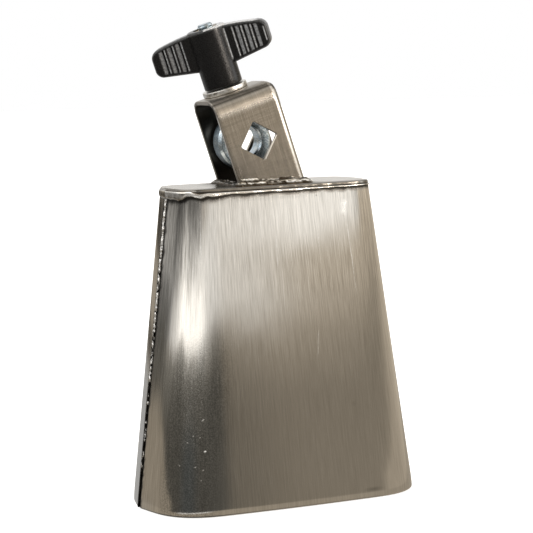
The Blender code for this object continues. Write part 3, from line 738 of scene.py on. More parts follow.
def top_lip():
    sec, out, frac, back = outline_at(112.0 / HEIGHT, 1.7, 340)
    n = len(sec)
    low = np.where(back, lip_low(frac, 1), lip_low(frac, 0))
    high = np.full(n, HEIGHT - PLATE + 0.25)
    spot = np.concatenate([sec, np.zeros((n, 1))], 1)
    bulge = 0.34 + 0.09 * rough(spot, 5.0, 2, 1.0) + 0.06 * ramp(112.0 - low, 0.0, 1.5)
    # depth behind the sheet, share of the height, share of the bulge, brightness; the brightness falls at the lower
    # edge and the top, weld oxide there with painted shade in the undercut and in the groove under the plate
    shape = [(0.90, -0.02, 0.0, 0.0), (0.22, -0.04, 0.0, 0.0), (0.0, -0.02, 0.45, 0.05), (0.0, 0.06, 0.80, 0.45),
             (0.0, 0.13, 0.985, 0.85), (0.0, 0.22, 1.0, 1.0), (0.0, 0.40, 0.985, 1.0), (0.0, 0.58, 0.967, 1.0),
             (0.0, 0.66, 0.90, 0.9), (0.0, 0.76, 0.50, 0.35), (0.0, 0.88, 0.16, 0.12), (0.15, 1.0, 0.0, 0.05), (0.90, 1.02, 0.0, 0.0)]
    flush = [(0.90, 0.0, 0.0, 0.0), (0.22, -0.02, 0.0, 0.0), (0.0, -0.01, 0.45, 0.1), (0.0, 0.04, 0.78, 0.6),
             (0.0, 0.10, 0.95, 0.9), (0.0, 0.20, 1.0, 1.0), (0.0, 0.35, 1.0, 1.0), (0.0, 0.50, 0.95, 1.0),
             (0.0, 0.66, 0.90, 1.0), (0.0, 0.80, 0.80, 1.0), (0.0, 0.89, 0.66, 0.16), (0.12, 1.0, 0.3, 0.06), (0.90, 1.02, 0.0, 0.06)]
    left = ramp(0.185 - frac, 0.0, 0.035) * ~back + ramp(frac - 0.86, 0.0, 0.05) * back
    pts = np.zeros((len(shape), n, 3))
    crest = np.zeros((len(shape), n))
    for k in range(len(shape)):
        deep, up, bump, bright = [a + (b - a) * left for a, b in zip(shape[k], flush[k])]
        z = low + (high + 0.75 * left - low) * up
        grow = (112.0 - z) * 0.073
        pts[k, :, :2] = sec + out * (bump * bulge - deep + grow)[:, None]
        pts[k, :, 2] = z
        crest[k] = bright * (1.0 - 0.64 * left * (1.0 - ramp(up, 0.66, 0.80)))
    lump = rough(pts, 3.0, 2, 4.0)
    free = np.array([q[2] for q in shape])[:, None]
    pts[..., :2] += out[None] * (0.03 * lump * free)[..., None]
    crest = np.clip(crest * (1.0 + (0.25 + 0.3 * left) * lump), 0.0, 1.0)
    obj = mesh_object("welded_lip", pts, grid_faces(len(shape), n, True, True), [lip_metal], None,
                      {"crest": crest}, sharp=75)
    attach(obj, "bell")
    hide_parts("top_seam_weld")


top_lip()


# ======================================================================
# Clamp strap
# ======================================================================
def strap():
    half_w, half_d = STRAP_WIDTH / 2, STRAP_DEPTH / 2
    straight = STRAP_TOP - STRAP_BEND
    # path of the outer face over the top, from 9 mm above the front foot
    side = [(-half_d, 9.0), (-half_d, straight)]
    side += [(-half_d + STRAP_BEND * (1 - math.cos(a)), straight + STRAP_BEND * math.sin(a))
             for a in np.linspace(0.0, math.pi / 2, 40)]
    side += [(-y, h) for y, h in reversed(side)]
    path = eased(side, 1.9, 0.1)
    path[:, 1] += STRAP_TOP - path[:, 1].max()
    total = pick(path, [0.0])[1]
    spots, _ = pick(path, np.linspace(0.0, total, 76))
    way = np.gradient(spots, axis=0)
    way /= np.linalg.norm(way, axis=1)[:, None]
    rows = [(-half_d, None, -1.0, 0.0, k / 8.0) for k in range(8)]
    rows += [(float(q[0]), float(q[1]), float(-w[1]), float(w[0]), None) for q, w in zip(spots, way)]
    rows += [(half_d, None, 1.0, 0.0, k / 8.0) for k in range(7, -1, -1)]
    straight = 9.0
    r, r2 = 0.36, 0.22
    q = np.linspace(0.0, math.pi / 2, 9)
    # the right edge is hammered down in two soft facets
    edge = eased([(half_w - 3.4, 0.0), (half_w - 2.16, 0.0), (half_w - 1.14, 0.41), (half_w - 0.04, 1.21), (half_w - 0.02, 1.5)], 0.16, 0.05)
    edge = edge[(edge[:, 0] > half_w - 2.6) & (edge[:, 1] < STRAP - r2 - 0.05)][::2]
    xs = np.linspace(-half_w + r, half_w - 2.65, 28)
    ring = [(x, 0.0) for x in xs]
    ring += [(float(x), float(y)) for x, y in edge]
    ring += [(half_w - 0.03 - r2 + r2 * math.cos(a), STRAP - r2 + r2 * math.sin(a)) for a in q]
    ring += [(x, STRAP) for x in xs[::-1][1:-1]]
    ring += [(-half_w + r2 - r2 * math.sin(a), STRAP - r2 + r2 * math.cos(a)) for a in q]
    ring += [(-half_w + r - r * math.cos(a), r - r * math.sin(a)) for a in q[:-1]]
    ring = np.array(ring)
    n = len(ring)
    local = np.zeros((len(rows), n, 3))
    uv = np.zeros((len(rows), n, 2))
    foot = -ring[:, 0] * math.tan(LEAN) - 0.35
    run = 0.0
    for k, (y, h, oy, oh, f) in enumerate(rows):
        height = foot + (straight - foot) * f if h is None else np.full(n, h)
        local[k, :, 0] = ring[:, 0]
        local[k, :, 1] = y - oy * ring[:, 1]
        local[k, :, 2] = height - oh * ring[:, 1]
        if k:
            run += float(np.hypot(y - rows[k - 1][0], np.mean(height) - last))
        last = float(np.mean(height))
        uv[k, :, 0] = ring[:, 0] + 40.0 * (ring[:, 1] > 0.7)
        uv[k, :, 1] = run
    wave = 0.016 * rough(local, 9.0, 2, 3.0)
    local[..., 1] += wave * np.array([row[2] for row in rows])[:, None]
    faces = grid_faces(len(rows), n, False, True)
    faces.append(tuple(range(n)))
    faces.append(tuple((len(rows) - 1) * n + j for j in range(n)))
    obj = mesh_object("clamp_strap_brushed", local, faces, [strap_steel], uv, None, sharp=50)

    def cutter(name, build):
        mesh = bpy.data.meshes.new(name)
        bm = bmesh.new()
        build(bm)
        bmesh.ops.recalc_face_normals(bm, faces=bm.faces)
        bm.to_mesh(mesh)
        bm.free()
        cut = bpy.data.objects.new(name, mesh)
        bpy.context.scene.collection.objects.link(cut)
        mod = obj.modifiers.new(name, "BOOLEAN")
        mod.operation, mod.solver, mod.object = "DIFFERENCE", "EXACT", cut
        return cut

    def square_hole(bm):
        """Square hole on its corner, its edges broken at both faces of
        both cheeks."""
        stations = []
        wide, chamfer = HOLE_SIDE / math.sqrt(2), 0.26
        for face in (-half_d, -half_d + STRAP, half_d - STRAP, half_d):
            stations.append(face)
        ys = [(-half_d - 1.0, 1.0 + chamfer), (-half_d + chamfer, 0.0), (-half_d + STRAP - chamfer, 0.0),
              (-half_d + STRAP + 0.6, 0.6 + chamfer), (half_d - STRAP - 0.6, 0.6 + chamfer),
              (half_d - STRAP + chamfer, 0.0), (half_d - chamfer, 0.0), (half_d + 1.0, 1.0 + chamfer)]
        loops = []
        for y, grow in ys:
            w = wide + grow
            corner = 0.7
            square = [(0, w), (w, 0), (0, -w), (-w, 0)]
            pts = []
            for i, p in enumerate(square):
                pts += corner_arc(Vector(square[i - 1]), Vector(p), Vector(square[(i + 1) % 4]), corner, 4)
            loops.append([bm.verts.new(Vector((HOLE_X + p.x, y, HOLE_H + p.y)) * MM) for p in pts])
        for a, b in zip(loops, loops[1:]):
            for i in range(len(a)):
                j = (i + 1) % len(a)
                bm.faces.new((a[i], a[j], b[j], b[i]))
        bm.faces.new(loops[0])
        bm.faces.new(loops[-1])

    def bolt_hole(bm):
        bmesh.ops.create_cone(bm, cap_ends=True, segments=48, radius1=3.6 * MM, radius2=3.6 * MM, depth=8 * MM,
                              matrix=Matrix.Translation(Vector((BOLT_X, BOLT_Y, STRAP_TOP)) * MM))

    cuts = [cutter("rod_cut", square_hole), cutter("bolt_cut", bolt_hole)]
    bpy.context.view_layer.update()
    graph = bpy.context.evaluated_depsgraph_get()
    mesh = bpy.data.meshes.new_from_object(obj.evaluated_get(graph))
    obj.modifiers.clear()
    old = obj.data
    obj.data = mesh
    bpy.data.meshes.remove(old)
    for cut in cuts:
        bpy.data.objects.remove(cut, do_unlink=True)
    count = len(mesh.vertices)
    co = np.zeros(count * 3)
    mesh.vertices.foreach_get("co", co)
    co = co.reshape(-1, 3) / MM
    low = co[:, 2] + co[:, 0] * math.tan(LEAN)
    soot_and_painted_shade = 0.8 * np.clip(1.0 - low / (3.2 + 1.2 * rough(co, 2.2, 3, 5.0)), 0.0, 1.0)
    # darker towards the foot, and towards the left near the foot
    soot_and_painted_shade = np.maximum(soot_and_painted_shade, 0.45 - 0.45 * ramp(low, 2.0, 27.0) + 0.30 * ramp(-co[:, 0], 1.0, 11.0) * (1.0 - ramp(low, 4.0, 18.0)))
    # painted shade over the bend and the top
    soot_and_painted_shade = np.maximum(soot_and_painted_shade, 0.45 * ramp(co[:, 2], 27.0, 30.5))
    # painted shade on the inner faces between the cheeks
    inner = (np.abs(co[:, 1]) < half_d - STRAP + 0.1) & (co[:, 2] < STRAP_TOP - STRAP + 0.1)
    soot_and_painted_shade = np.maximum(soot_and_painted_shade, np.where(inner, 0.9, 0.0))
    mesh.attributes.new("soot_and_painted_shade", "FLOAT", "POINT").data.foreach_set("value", soot_and_painted_shade.astype(np.float32))
    mesh.attributes.new("hair", "FLOAT", "POINT").data.foreach_set("value", np.full(count, 0.7, np.float32))
    mesh.attributes.new("worn", "FLOAT", "POINT").data.foreach_set("value", ramp(co[:, 2], 28.0, 31.5).astype(np.float32))
    mesh.attributes.new("grain", "FLOAT", "POINT").data.foreach_set("value", np.full(count, 1.6, np.float32))
    mesh.vertices.foreach_set("co", (strap_to_world(co) * MM).ravel())
    mesh.shade_smooth()
    mesh.set_sharp_from_angle(angle=math.radians(30))
    mesh.update()
    obj.name = "clamp_strap_brushed"
    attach(obj, "bell")
    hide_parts("clamp_bracket")


strap()


# ======================================================================
# Foot welds: lumpy fillets round the strap's foot
# ======================================================================
def foot_weld(name, node, side):
    """Fillet along one cheek and round the left end to the middle."""
    y0 = side * (STRAP_DEPTH / 2)
    reach = STRAP_WIDTH / 2 / math.cos(LEAN)
    right, left = FOOT_X + reach + 1.9, FOOT_X - reach - 0.3
    path = []
    for x in np.linspace(right, left, 150):
        path.append((x, y0, 0.0, side, min(1.0, 0.30 + (right - x) / 3.2)))
    for a in np.linspace(0.0, math.pi / 2, 16)[1:]:
        path.append((left, y0, -math.sin(a), side * math.cos(a), 1.0 - 0.36 * a / (math.pi / 2)))
    for y in np.linspace(y0, side * -0.6, 70)[1:]:
        path.append((left, y, -1.0, 0.0, 0.64))
    path = np.array(path)
    n = len(path)
    seed = 3.0 if side < 0 else 23.0
    prof = np.array([(-1.2, -0.25), (1.2, -0.25), (2.6, -0.2), (3.5, -0.1), (3.45, 0.2), (3.2, 0.55), (2.85, 0.9), (2.4, 1.2),
                     (1.9, 1.45), (1.4, 1.62), (0.95, 1.85), (0.55, 2.15), (0.2, 2.5), (-0.1, 2.7), (-0.45, 2.65), (-1.0, 2.2), (-1.3, 1.2)])
    m = len(prof)
    line = np.stack([path[:, 0], path[:, 1], np.zeros(n)], -1)
    size = path[:, 4] * (0.87 + 0.14 * rough(line, 5.0, 2, seed))
    tall = 0.95 + 0.18 * rough(line, 4.0, 2, seed + 1.0)
    pts = np.zeros((n, m, 3))
    pts[..., 0] = path[:, 0:1] + path[:, 2:3] * prof[None, :, 0] * size[:, None]
    pts[..., 1] = path[:, 1:2] + path[:, 3:4] * prof[None, :, 0] * size[:, None]
    pts[..., 2] = HEIGHT + np.where(prof[None, :, 1] > 0, prof[None, :, 1] * (size * tall)[:, None], prof[None, :, 1])
    # lumps run long along the bead
    along = np.concatenate([[0.0], np.cumsum(np.linalg.norm(np.diff(path[:, :2], axis=0), axis=1))])
    flat = np.stack([np.repeat(along[:, None] * 0.42, m, 1), np.repeat(prof[None, :, 0] * 1.1, n, 0),
                     np.repeat(prof[None, :, 1] * 1.1, n, 0)], -1)
    lump = rough(flat, 1.5, 2, seed + 2.0)
    fine = rough(flat, 0.55, 2, seed + 4.0)
    up = np.clip(prof[:, 1] / 2.7, 0.0, 1.0)
    free = np.where(prof[:, 1] > 0.1, 1.0, 0.3) * np.where(prof[:, 0] < -0.6, 0.3, 1.0)
    fine = fine * np.where(path[:, 2] < -0.3, 1.7, 1.0)[:, None]
    move = (0.34 * lump + 0.18 * fine) * free
    pts[..., 0] += path[:, 2:3] * move * (1.0 - 0.6 * up)
    pts[..., 1] += path[:, 3:4] * move * (1.0 - 0.6 * up)
    pts[..., 2] += move * (0.35 + 0.65 * up)
    rows = np.array([0.0, 0.0, 0.0, 0.0, 0.0, 0.1, 0.45, 1.0, 1.0, 0.5, 0.15, 0.2, 0.8, 1.0, 0.8, 0.2, 0.0])
    crest = ramp(lump + 0.7 * fine, -0.12, 0.12) * rows[None]
    crest *= np.where(path[:, 2] < -0.5, 0.35, 1.0)[:, None]
    faces = grid_faces(n, m, False, True)
    faces.append(tuple(range(m)))
    faces.append(tuple((n - 1) * m + j for j in range(m)))
    obj = mesh_object(name, pts, faces, [foot_metal], None, {"crest": crest}, sharp=75)
    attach(obj, "bell")
    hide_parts(node)


foot_weld("foot_weld_front", "bracket_front_weld", -1)
foot_weld("foot_weld_rear", "bracket_rear_weld", 1)


# ======================================================================
# Eye bolt with rolled thread
# ======================================================================
def eye_bolt():
    half = EYE_THICK / 2
    e = EYE_EDGE
    prof = round_profile([(EYE_OUT, half - 0.9, 0.5), (EYE_OUT - 1.0, half, 0.3), (EYE_IN + 0.7, half, 0.3),
                          (EYE_IN, half - 0.8, 0.3), (EYE_IN, -half + 0.8, 0.3), (EYE_IN + 0.7, -half, 0.3),
                          (EYE_OUT - 1.0, -half, 0.5), (EYE_OUT, -half + 0.9, 0.5)], 4)
    prof = np.array(prof)
    pts, faces = lathe(prof, 96)
    flat = np.abs(np.abs(prof[:, 1]) - half) < 0.05
    barrel = (prof[:, 0] > EYE_OUT - 0.05) & (np.abs(prof[:, 1]) < half - 1.0)
    dull = np.where(flat | barrel, 0.95, np.where(prof[:, 0] < EYE_IN + 0.2, 0.2, 0.0))
    dull = np.repeat(dull[:, None], 96, 1)
    pts = pts + 0.05 * rough(pts, 1.6, 3, 2.0)[..., None] * (pts / np.linalg.norm(pts, axis=-1, keepdims=True))
    ring = np.stack([pts[..., 0], -pts[..., 2], pts[..., 1] + HOLE_H], -1)
    verts = [ring.reshape(-1, 3)]
    marks = [dull.ravel()]
    base = ring.size // 3
    # shank: plain under the strap, threaded from there to the tip
    segs, pitch = 40, 1.0
    bottom, start = HOLE_H + (EYE_IN + EYE_OUT) / 2 + 1.2, 30.5
    hs = np.concatenate([[bottom, HOLE_H + EYE_OUT - 0.6, HOLE_H + EYE_OUT + 0.4, HOLE_H + EYE_OUT + 1.4, 29.0, 30.0],
                         np.arange(start, BOLT_TIP - 0.001, pitch / 10.0), [BOLT_TIP - 0.02, BOLT_TIP]])
    ang = np.linspace(0.0, math.tau, segs, endpoint=False)
    turn = (hs[:, None] / pitch - ang[None] / math.tau) % 1.0
    tooth = np.clip(1.35 - np.abs(turn - 0.5) * 3.2, 0.0, 1.0)
    depth = 0.52 * ramp(hs, start, start + 1.2)
    radius = SHANK - depth[:, None] * (1.0 - tooth)
    radius = np.where(hs[:, None] < HOLE_H + EYE_OUT + 0.5, SHANK + 0.3 + 0.5 * ramp(HOLE_H + EYE_OUT + 0.5 - hs, 0.0, 1.2)[:, None], radius)
    tip = np.clip((hs - (BOLT_TIP - 0.75)) / 0.75, 0.0, 1.0)
    radius = np.minimum(radius, (SHANK - 0.05 - 0.75 * tip)[:, None])
    shaft = np.stack([radius * np.cos(ang), radius * np.sin(ang), np.repeat(hs[:, None], segs, 1)], -1)
    cap = np.stack([(radius[-1] * 0.5) * np.cos(ang), (radius[-1] * 0.5) * np.sin(ang), np.full(segs, BOLT_TIP)], -1)[None]
    shaft = np.concatenate([shaft, cap])
    verts.append(shaft.reshape(-1, 3))
    dark = np.clip(1.0 - (radius - (SHANK - 0.52)) / 0.3, 0.0, 1.0) * (depth[:, None] > 0.1)
    marks.append(np.concatenate([0.8 * dark, np.zeros((1, segs))]).ravel())
    count = len(hs) + 1
    faces = faces + grid_faces(count, segs, False, True, base)
    faces.append(tuple(base + j for j in range(segs)))
    faces.append(tuple(base + (count - 1) * segs + j for j in range(segs)))
    obj = mesh_object("eye_bolt_plated", axis_to_world(np.concatenate(verts)), faces, [zinc], None,
                      {"dull": np.concatenate(marks)}, sharp=40)
    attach(obj, "eye_bolt")
    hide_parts("eye_bolt")


eye_bolt()


def flat_washer():
    prof = round_profile([(WASHER_OUT, WASHER_HIGH, 0.35), (WASHER_IN, WASHER_HIGH, 0.15),
                          (WASHER_IN, WASHER_LOW, 0.15), (WASHER_OUT, WASHER_LOW, 0.35)], 5)
    prof = np.array(prof)
    pts, faces = lathe(prof, 120)
    ang = np.linspace(0.0, math.tau, 120, endpoint=False)
    uv = np.stack([np.repeat(ang[None] * 5.0, len(prof), 0), np.repeat(prof[:, 0:1] + prof[:, 1:2], 120, 1)], -1)
    obj = mesh_object("flat_washer_plated", axis_to_world(pts), faces, [washer_mat], uv, None, sharp=45)
    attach(obj, "bell")
    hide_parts("flat_washer")


flat_washer()


# ======================================================================
# Wing nut: hub and two grooved wings
# ======================================================================
def wing_top(x):
    return HUB_TOP - 0.30 - 0.00575 * x * x


def wing_low(x):
    return 43.85 + 0.157 * x


def wing_outline():
    """Right half of the outline, lower edge outwards, then the top back."""
    end = WING_HALF
    lower = corner_arc(Vector((0.0, wing_low(0.0))), Vector((end, wing_low(end))),
                       Vector((end, wing_top(end))), 3.0, 14)
    upper = corner_arc(Vector((end, wing_low(end))), Vector((end, wing_top(end))),
                       Vector((14.0, wing_top(14.0))), 3.3, 14)
    return lower, upper


lower_arc, upper_arc = wing_outline()
LOW_X, LOW_H = np.array([p.x for p in lower_arc]), np.array([p.y for p in lower_arc])
TOP_X, TOP_H = np.array([p.x for p in upper_arc])[::-1], np.array([p.y for p in upper_arc])[::-1]


def low_edge(x):
    return np.where(x < LOW_X[0], wing_low(x), np.interp(x, LOW_X, LOW_H))


def top_edge(x):
    return np.where(x < TOP_X[0], wing_top(x), np.interp(x, TOP_X, TOP_H))


def from_outline(x, h):
    """Distance of points on a wing to its outline."""
    line = [(float(v), float(low_edge(np.array(v)))) for v in np.linspace(0.0, LOW_X[0], 12)[:-1]]
    line += [(p.x, p.y) for p in lower_arc] + [(p.x, p.y) for p in upper_arc]
    line += [(float(v), float(top_edge(np.array(v)))) for v in np.linspace(TOP_X[0], 0.0, 24)[1:]]
    a, b = np.array(line[:-1]), np.array(line[1:])
    pt = np.stack([np.abs(x), h], -1)[..., None, :]
    ab = b - a
    s = np.clip(np.sum((pt - a) * ab, -1) / np.maximum(np.sum(ab * ab, -1), 1e-9), 0.0, 1.0)
    return np.sqrt(np.min(np.sum((pt - (a + s[..., None] * ab)) ** 2, -1), -1))


GROOVES = [9.75 + 3.3 * k for k in range(3)]


def wing_highlights_and_wear(x, y, h):
    """A faint worn line along the outline, and painted highlights: lines on
    the groove edges, painted light on the grey flanks, lines along the hub
    crease and the right end, pale upper edges, brightest on the right wing.
    One face of each wing carries more of them, the same half a turn on."""
    rho = np.abs(x)
    dist = from_outline(x, h)
    # the face of each wing that carries more of the painted highlights
    worn = (x * -y > 0).astype(float)
    wear = np.clip(1.0 - np.abs(dist - 0.3) / 0.45, 0.0, 1.0) * 0.10
    wear = wear * np.where(h - low_edge(rho) < 1.5, ramp(rho, HUB_R - 0.3, HUB_R + 0.6), 1.0)
    # painted highlight lines on the groove edges and painted light on the flanks
    lines = np.zeros_like(rho)
    for start in GROOVES:
        lines = np.maximum(lines, 0.68 * np.clip(1.0 - np.abs(rho - start + 0.1) / 0.36, 0.0, 1.0))
        flank = ramp(rho - start, 0.75, 1.2) * (1.0 - ramp(rho - start, 1.9, 2.4))
        lines = np.maximum(lines, 0.36 * flank)
    wear = np.maximum(wear, lines * ramp(dist, 1.0, 1.5) * (0.76 + 0.24 * worn))
    # painted highlight along the crease between hub and wing, on one face
    inside = ramp(h - low_edge(rho), 1.0, 2.0) * ramp(top_edge(rho) - h, 0.8, 1.6)
    wear = np.maximum(wear, 0.95 * worn * inside * np.clip(1.0 - np.abs(rho - 6.75) / 0.3, 0.0, 1.0))
    # painted highlight along the rounded end, on one face
    wear = np.maximum(wear, 0.8 * worn * np.clip(1.0 - np.abs(rho - 20.5) / 0.28, 0.0, 1.0)
                      * ramp(h - low_edge(rho), 1.5, 2.3) * ramp(top_edge(rho) - h, 1.6, 2.4))
    # painted highlight on the upper edges, far stronger on the right wing
    upper = np.where(x > 0, 1.5 * ramp(h - top_edge(rho), -0.22, -0.04) * (1.0 - ramp(rho, 17.0, 20.0)), 0.35 * ramp(h - top_edge(rho), -0.25, -0.03))
    upper *= np.where(x > 0, 1.0, ramp(rho, 6.0, 8.0))
    wear = np.maximum(wear, upper)
    on_wing = ramp(h - low_edge(rho), -0.05, 0.05)
    return wear * on_wing


def wings():
    xs = np.concatenate([np.linspace(0.0, 9.3, 54)[:-1], np.linspace(9.3, 20.2, 124)[:-1], np.linspace(20.2, 21.2, 9)[:-1],
                         WING_HALF - 0.5 * (1 - np.linspace(0.0, 1.0, 10)) ** 2])
    xs = np.concatenate([-xs[:0:-1], xs])
    q = np.linspace(0.0, 1.0, 44)
    q = 0.5 - 0.5 * np.cos(math.pi * (0.18 + 0.64 * q))
    q = (q - q[0]) / (q[-1] - q[0])
    ax = np.abs(xs)
    lo, hi = low_edge(ax), top_edge(ax)
    h = lo[:, None] + (hi - lo)[:, None] * q[None]
    x = np.repeat(xs[:, None], len(q), 1)
    dist = from_outline(x, h)
    r = WING_EDGE
    inside = np.clip(dist, 0.0, r)
    half = WING_THICK / 2 - r + np.sqrt(np.maximum(r * r - (r - inside) ** 2, 0.0))
    # grooves: steep on the side of the hub, a long flank rising outwards
    rho = np.abs(x)
    groove = np.zeros_like(rho)
    for start in GROOVES:
        p = (rho - start) / 3.3
        groove = np.maximum(groove, ramp(p, 0.0, 0.15) * np.clip((0.74 - p) / 0.56, 0.0, 1.0) * (p > 0) * (p < 0.8))
    margin = ramp(dist, 1.15, 1.75)
    half = half - 0.95 * np.clip(groove, 0.0, 1.0) * margin
    # the round hub stands proud of the wings, with a small fillet
    below = np.clip(hi[:, None] - h, 0.0, 0.9)
    fall = 0.9 - np.sqrt(np.maximum(0.81 - (0.9 - below) ** 2, 0.0))
    barrel = np.sqrt(np.maximum(HUB_R ** 2 - rho ** 2, 0.0)) + 0.02 - fall
    blend = 0.7
    near = np.maximum(blend - np.abs(half - barrel), 0.0) / blend
    half = np.maximum(half, barrel) + near * near * blend / 4.0
    n, m = x.shape
    front = np.stack([x, -half, h], -1)
    back = np.stack([x, half, h], -1)
    verts = np.concatenate([front.reshape(-1, 3), back.reshape(-1, 3)])
    faces = grid_faces(n, m) + [f[::-1] for f in grid_faces(n, m, base=n * m)]
    rim = [(i, 0) for i in range(n)] + [(n - 1, j) for j in range(1, m)] + [(i, m - 1) for i in range(n - 2, -1, -1)] + [(0, j) for j in range(m - 2, 0, -1)]
    rim = [i * m + j for i, j in rim]
    for p, pq in zip(rim, rim[1:] + rim[:1]):
        faces.append((p, pq, pq + n * m, p + n * m))
    turn = np.array([[math.cos(WING_TURN), -math.sin(WING_TURN)], [math.sin(WING_TURN), math.cos(WING_TURN)]])
    verts[:, :2] = verts[:, :2] @ turn.T
    return mesh_object("wing_nut_moulded", verts, faces, [plastic], None, None, sharp=None)


def hub():
    prof = round_profile([(HUB_R, HUB_TOP, 0.7), (0.4, HUB_TOP, 0.0), (0.4, HUB_LOW, 0.0), (HUB_R - 0.1, HUB_LOW, 0.6)], 6)
    rows = [p for p in prof]
    # more rings along the barrel
    out = []
    for i, p in enumerate(rows):
        out.append(p)
        nxt = rows[(i + 1) % len(rows)]
        gap = abs(p[1] - nxt[1])
        if gap > 5 and p[0] > 5:
            out += [(p[0] + (nxt[0] - p[0]) * k / 12, p[1] + (nxt[1] - p[1]) * k / 12) for k in range(1, 12)]
    prof = np.array(out)
    pts, faces = lathe(prof, 128)
    return mesh_object("wing_nut_hub", pts, faces, [plastic], None, None)


def wing_nut():
    obj, barrel = wings(), hub()
    bore_mesh = bpy.data.meshes.new("bore")
    bm = bmesh.new()
    bmesh.ops.create_cone(bm, cap_ends=True, segments=96, radius1=HUB_BORE * MM, radius2=HUB_BORE * MM, depth=60 * MM,
                          matrix=Matrix.Translation((0, 0, 48 * MM)))
    bm.to_mesh(bore_mesh)
    bm.free()
    bore = bpy.data.objects.new("bore", bore_mesh)
    bpy.context.scene.collection.objects.link(bore)
    for other, op in ((barrel, "UNION"), (bore, "DIFFERENCE")):
        mod = obj.modifiers.new(op, "BOOLEAN")
        mod.operation, mod.solver, mod.object = op, "EXACT", other
    bpy.context.view_layer.update()
    graph = bpy.context.evaluated_depsgraph_get()
    mesh = bpy.data.meshes.new_from_object(obj.evaluated_get(graph))
    obj.modifiers.clear()
    old = obj.data
    obj.data = mesh
    for other in (barrel, bore):
        bpy.data.objects.remove(other, do_unlink=True)
    bpy.data.meshes.remove(old)
    co = np.zeros(len(mesh.vertices) * 3)
    mesh.vertices.foreach_get("co", co)
    co = co.reshape(-1, 3) / MM
    ct, stn = math.cos(WING_TURN), math.sin(WING_TURN)
    # the wear mark: painted highlights and painted light, with a little edge wear
    wear = wing_highlights_and_wear(co[:, 0] * ct + co[:, 1] * stn, co[:, 1] * ct - co[:, 0] * stn, co[:, 2])
    mesh.attributes.new("wear", "FLOAT", "POINT").data.foreach_set("value", wear.astype(np.float32))
    mesh.vertices.foreach_set("co", (axis_to_world(co) * MM).ravel())
    mesh.shade_smooth()
    mesh.set_sharp_from_angle(angle=math.radians(38))
    mesh.update()
    obj.name = "wing_nut_moulded"
    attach(obj, "wing_nut")
    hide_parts("wing_nut")


wing_nut()


def threaded_insert():
    top, low = HUB_TOP - 0.4, HUB_LOW + 0.2
    pitch = 1.0
    outer = [(INSERT_OUT - 0.35, top), (INSERT_OUT, top - 0.35)]
    for a, b in ((0.30, 0.40), (0.60, 0.70)):
        for f, d in ((a, 0.0), (a + 0.03, 0.35), (b - 0.03, 0.35), (b, 0.0)):
            outer.append((INSERT_OUT - d, top + (low - top) * f))
    outer += [(INSERT_OUT, low + 0.35), (INSERT_OUT - 0.35, low)]
    inner = [(INSERT_IN + 0.45, low)]
    inner += [(INSERT_IN + (0.0 if k % 2 else 0.28), low + 0.45 + k * 0.5 * pitch) for k in range(int((top - low - 0.9) / (0.5 * pitch)))]
    inner += [(INSERT_IN + 0.45, top)]
    pts, faces = lathe(outer + inner, 64)
    obj = mesh_object("threaded_insert_turned", axis_to_world(pts), faces, [brass], None, None, sharp=35)
    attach(obj, "wing_nut")
    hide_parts("threaded_insert")


threaded_insert()


# ======================================================================
# Stage: pale floor, studio world, camera
# ======================================================================
def floor():
    """Pale paper sweep. It shows white, takes the soft contact shadow, and
    lets a view from below see the inside of the bell."""
    mesh = bpy.data.meshes.new("floor")
    bm = bmesh.new()
    bmesh.ops.create_circle(bm, cap_ends=True, segments=96, radius=6.0)
    bm.to_mesh(mesh)
    bm.free()
    obj = bpy.data.objects.new("floor", mesh)
    bpy.context.scene.collection.objects.link(obj)
    mat = bpy.data.materials.new("floor_paper")
    mat.use_nodes = True
    nt = mat.node_tree
    paper = nt.nodes["Principled BSDF"]
    paper.inputs["Base Color"].default_value = (0.9, 0.9, 0.89, 1.0)
    paper.inputs["Roughness"].default_value = 0.95
    paper.inputs["Emission Color"].default_value = (1.0, 1.0, 1.0, 1.0)
    paper.inputs["Emission Strength"].default_value = 0.72
    clear = nt.nodes.new("ShaderNodeBsdfTransparent")
    side = nt.nodes.new("ShaderNodeNewGeometry")
    pick = nt.nodes.new("ShaderNodeMixShader")
    nt.links.new(side.outputs["Backfacing"], pick.inputs[0])
    nt.links.new(paper.outputs[0], pick.inputs[1])
    nt.links.new(clear.outputs[0], pick.inputs[2])
    nt.links.new(pick.outputs[0], nt.nodes["Material Output"].inputs["Surface"])
    mesh.materials.append(mat)
    obj.location.z = -0.0003
    obj.visible_glossy = False


floor()


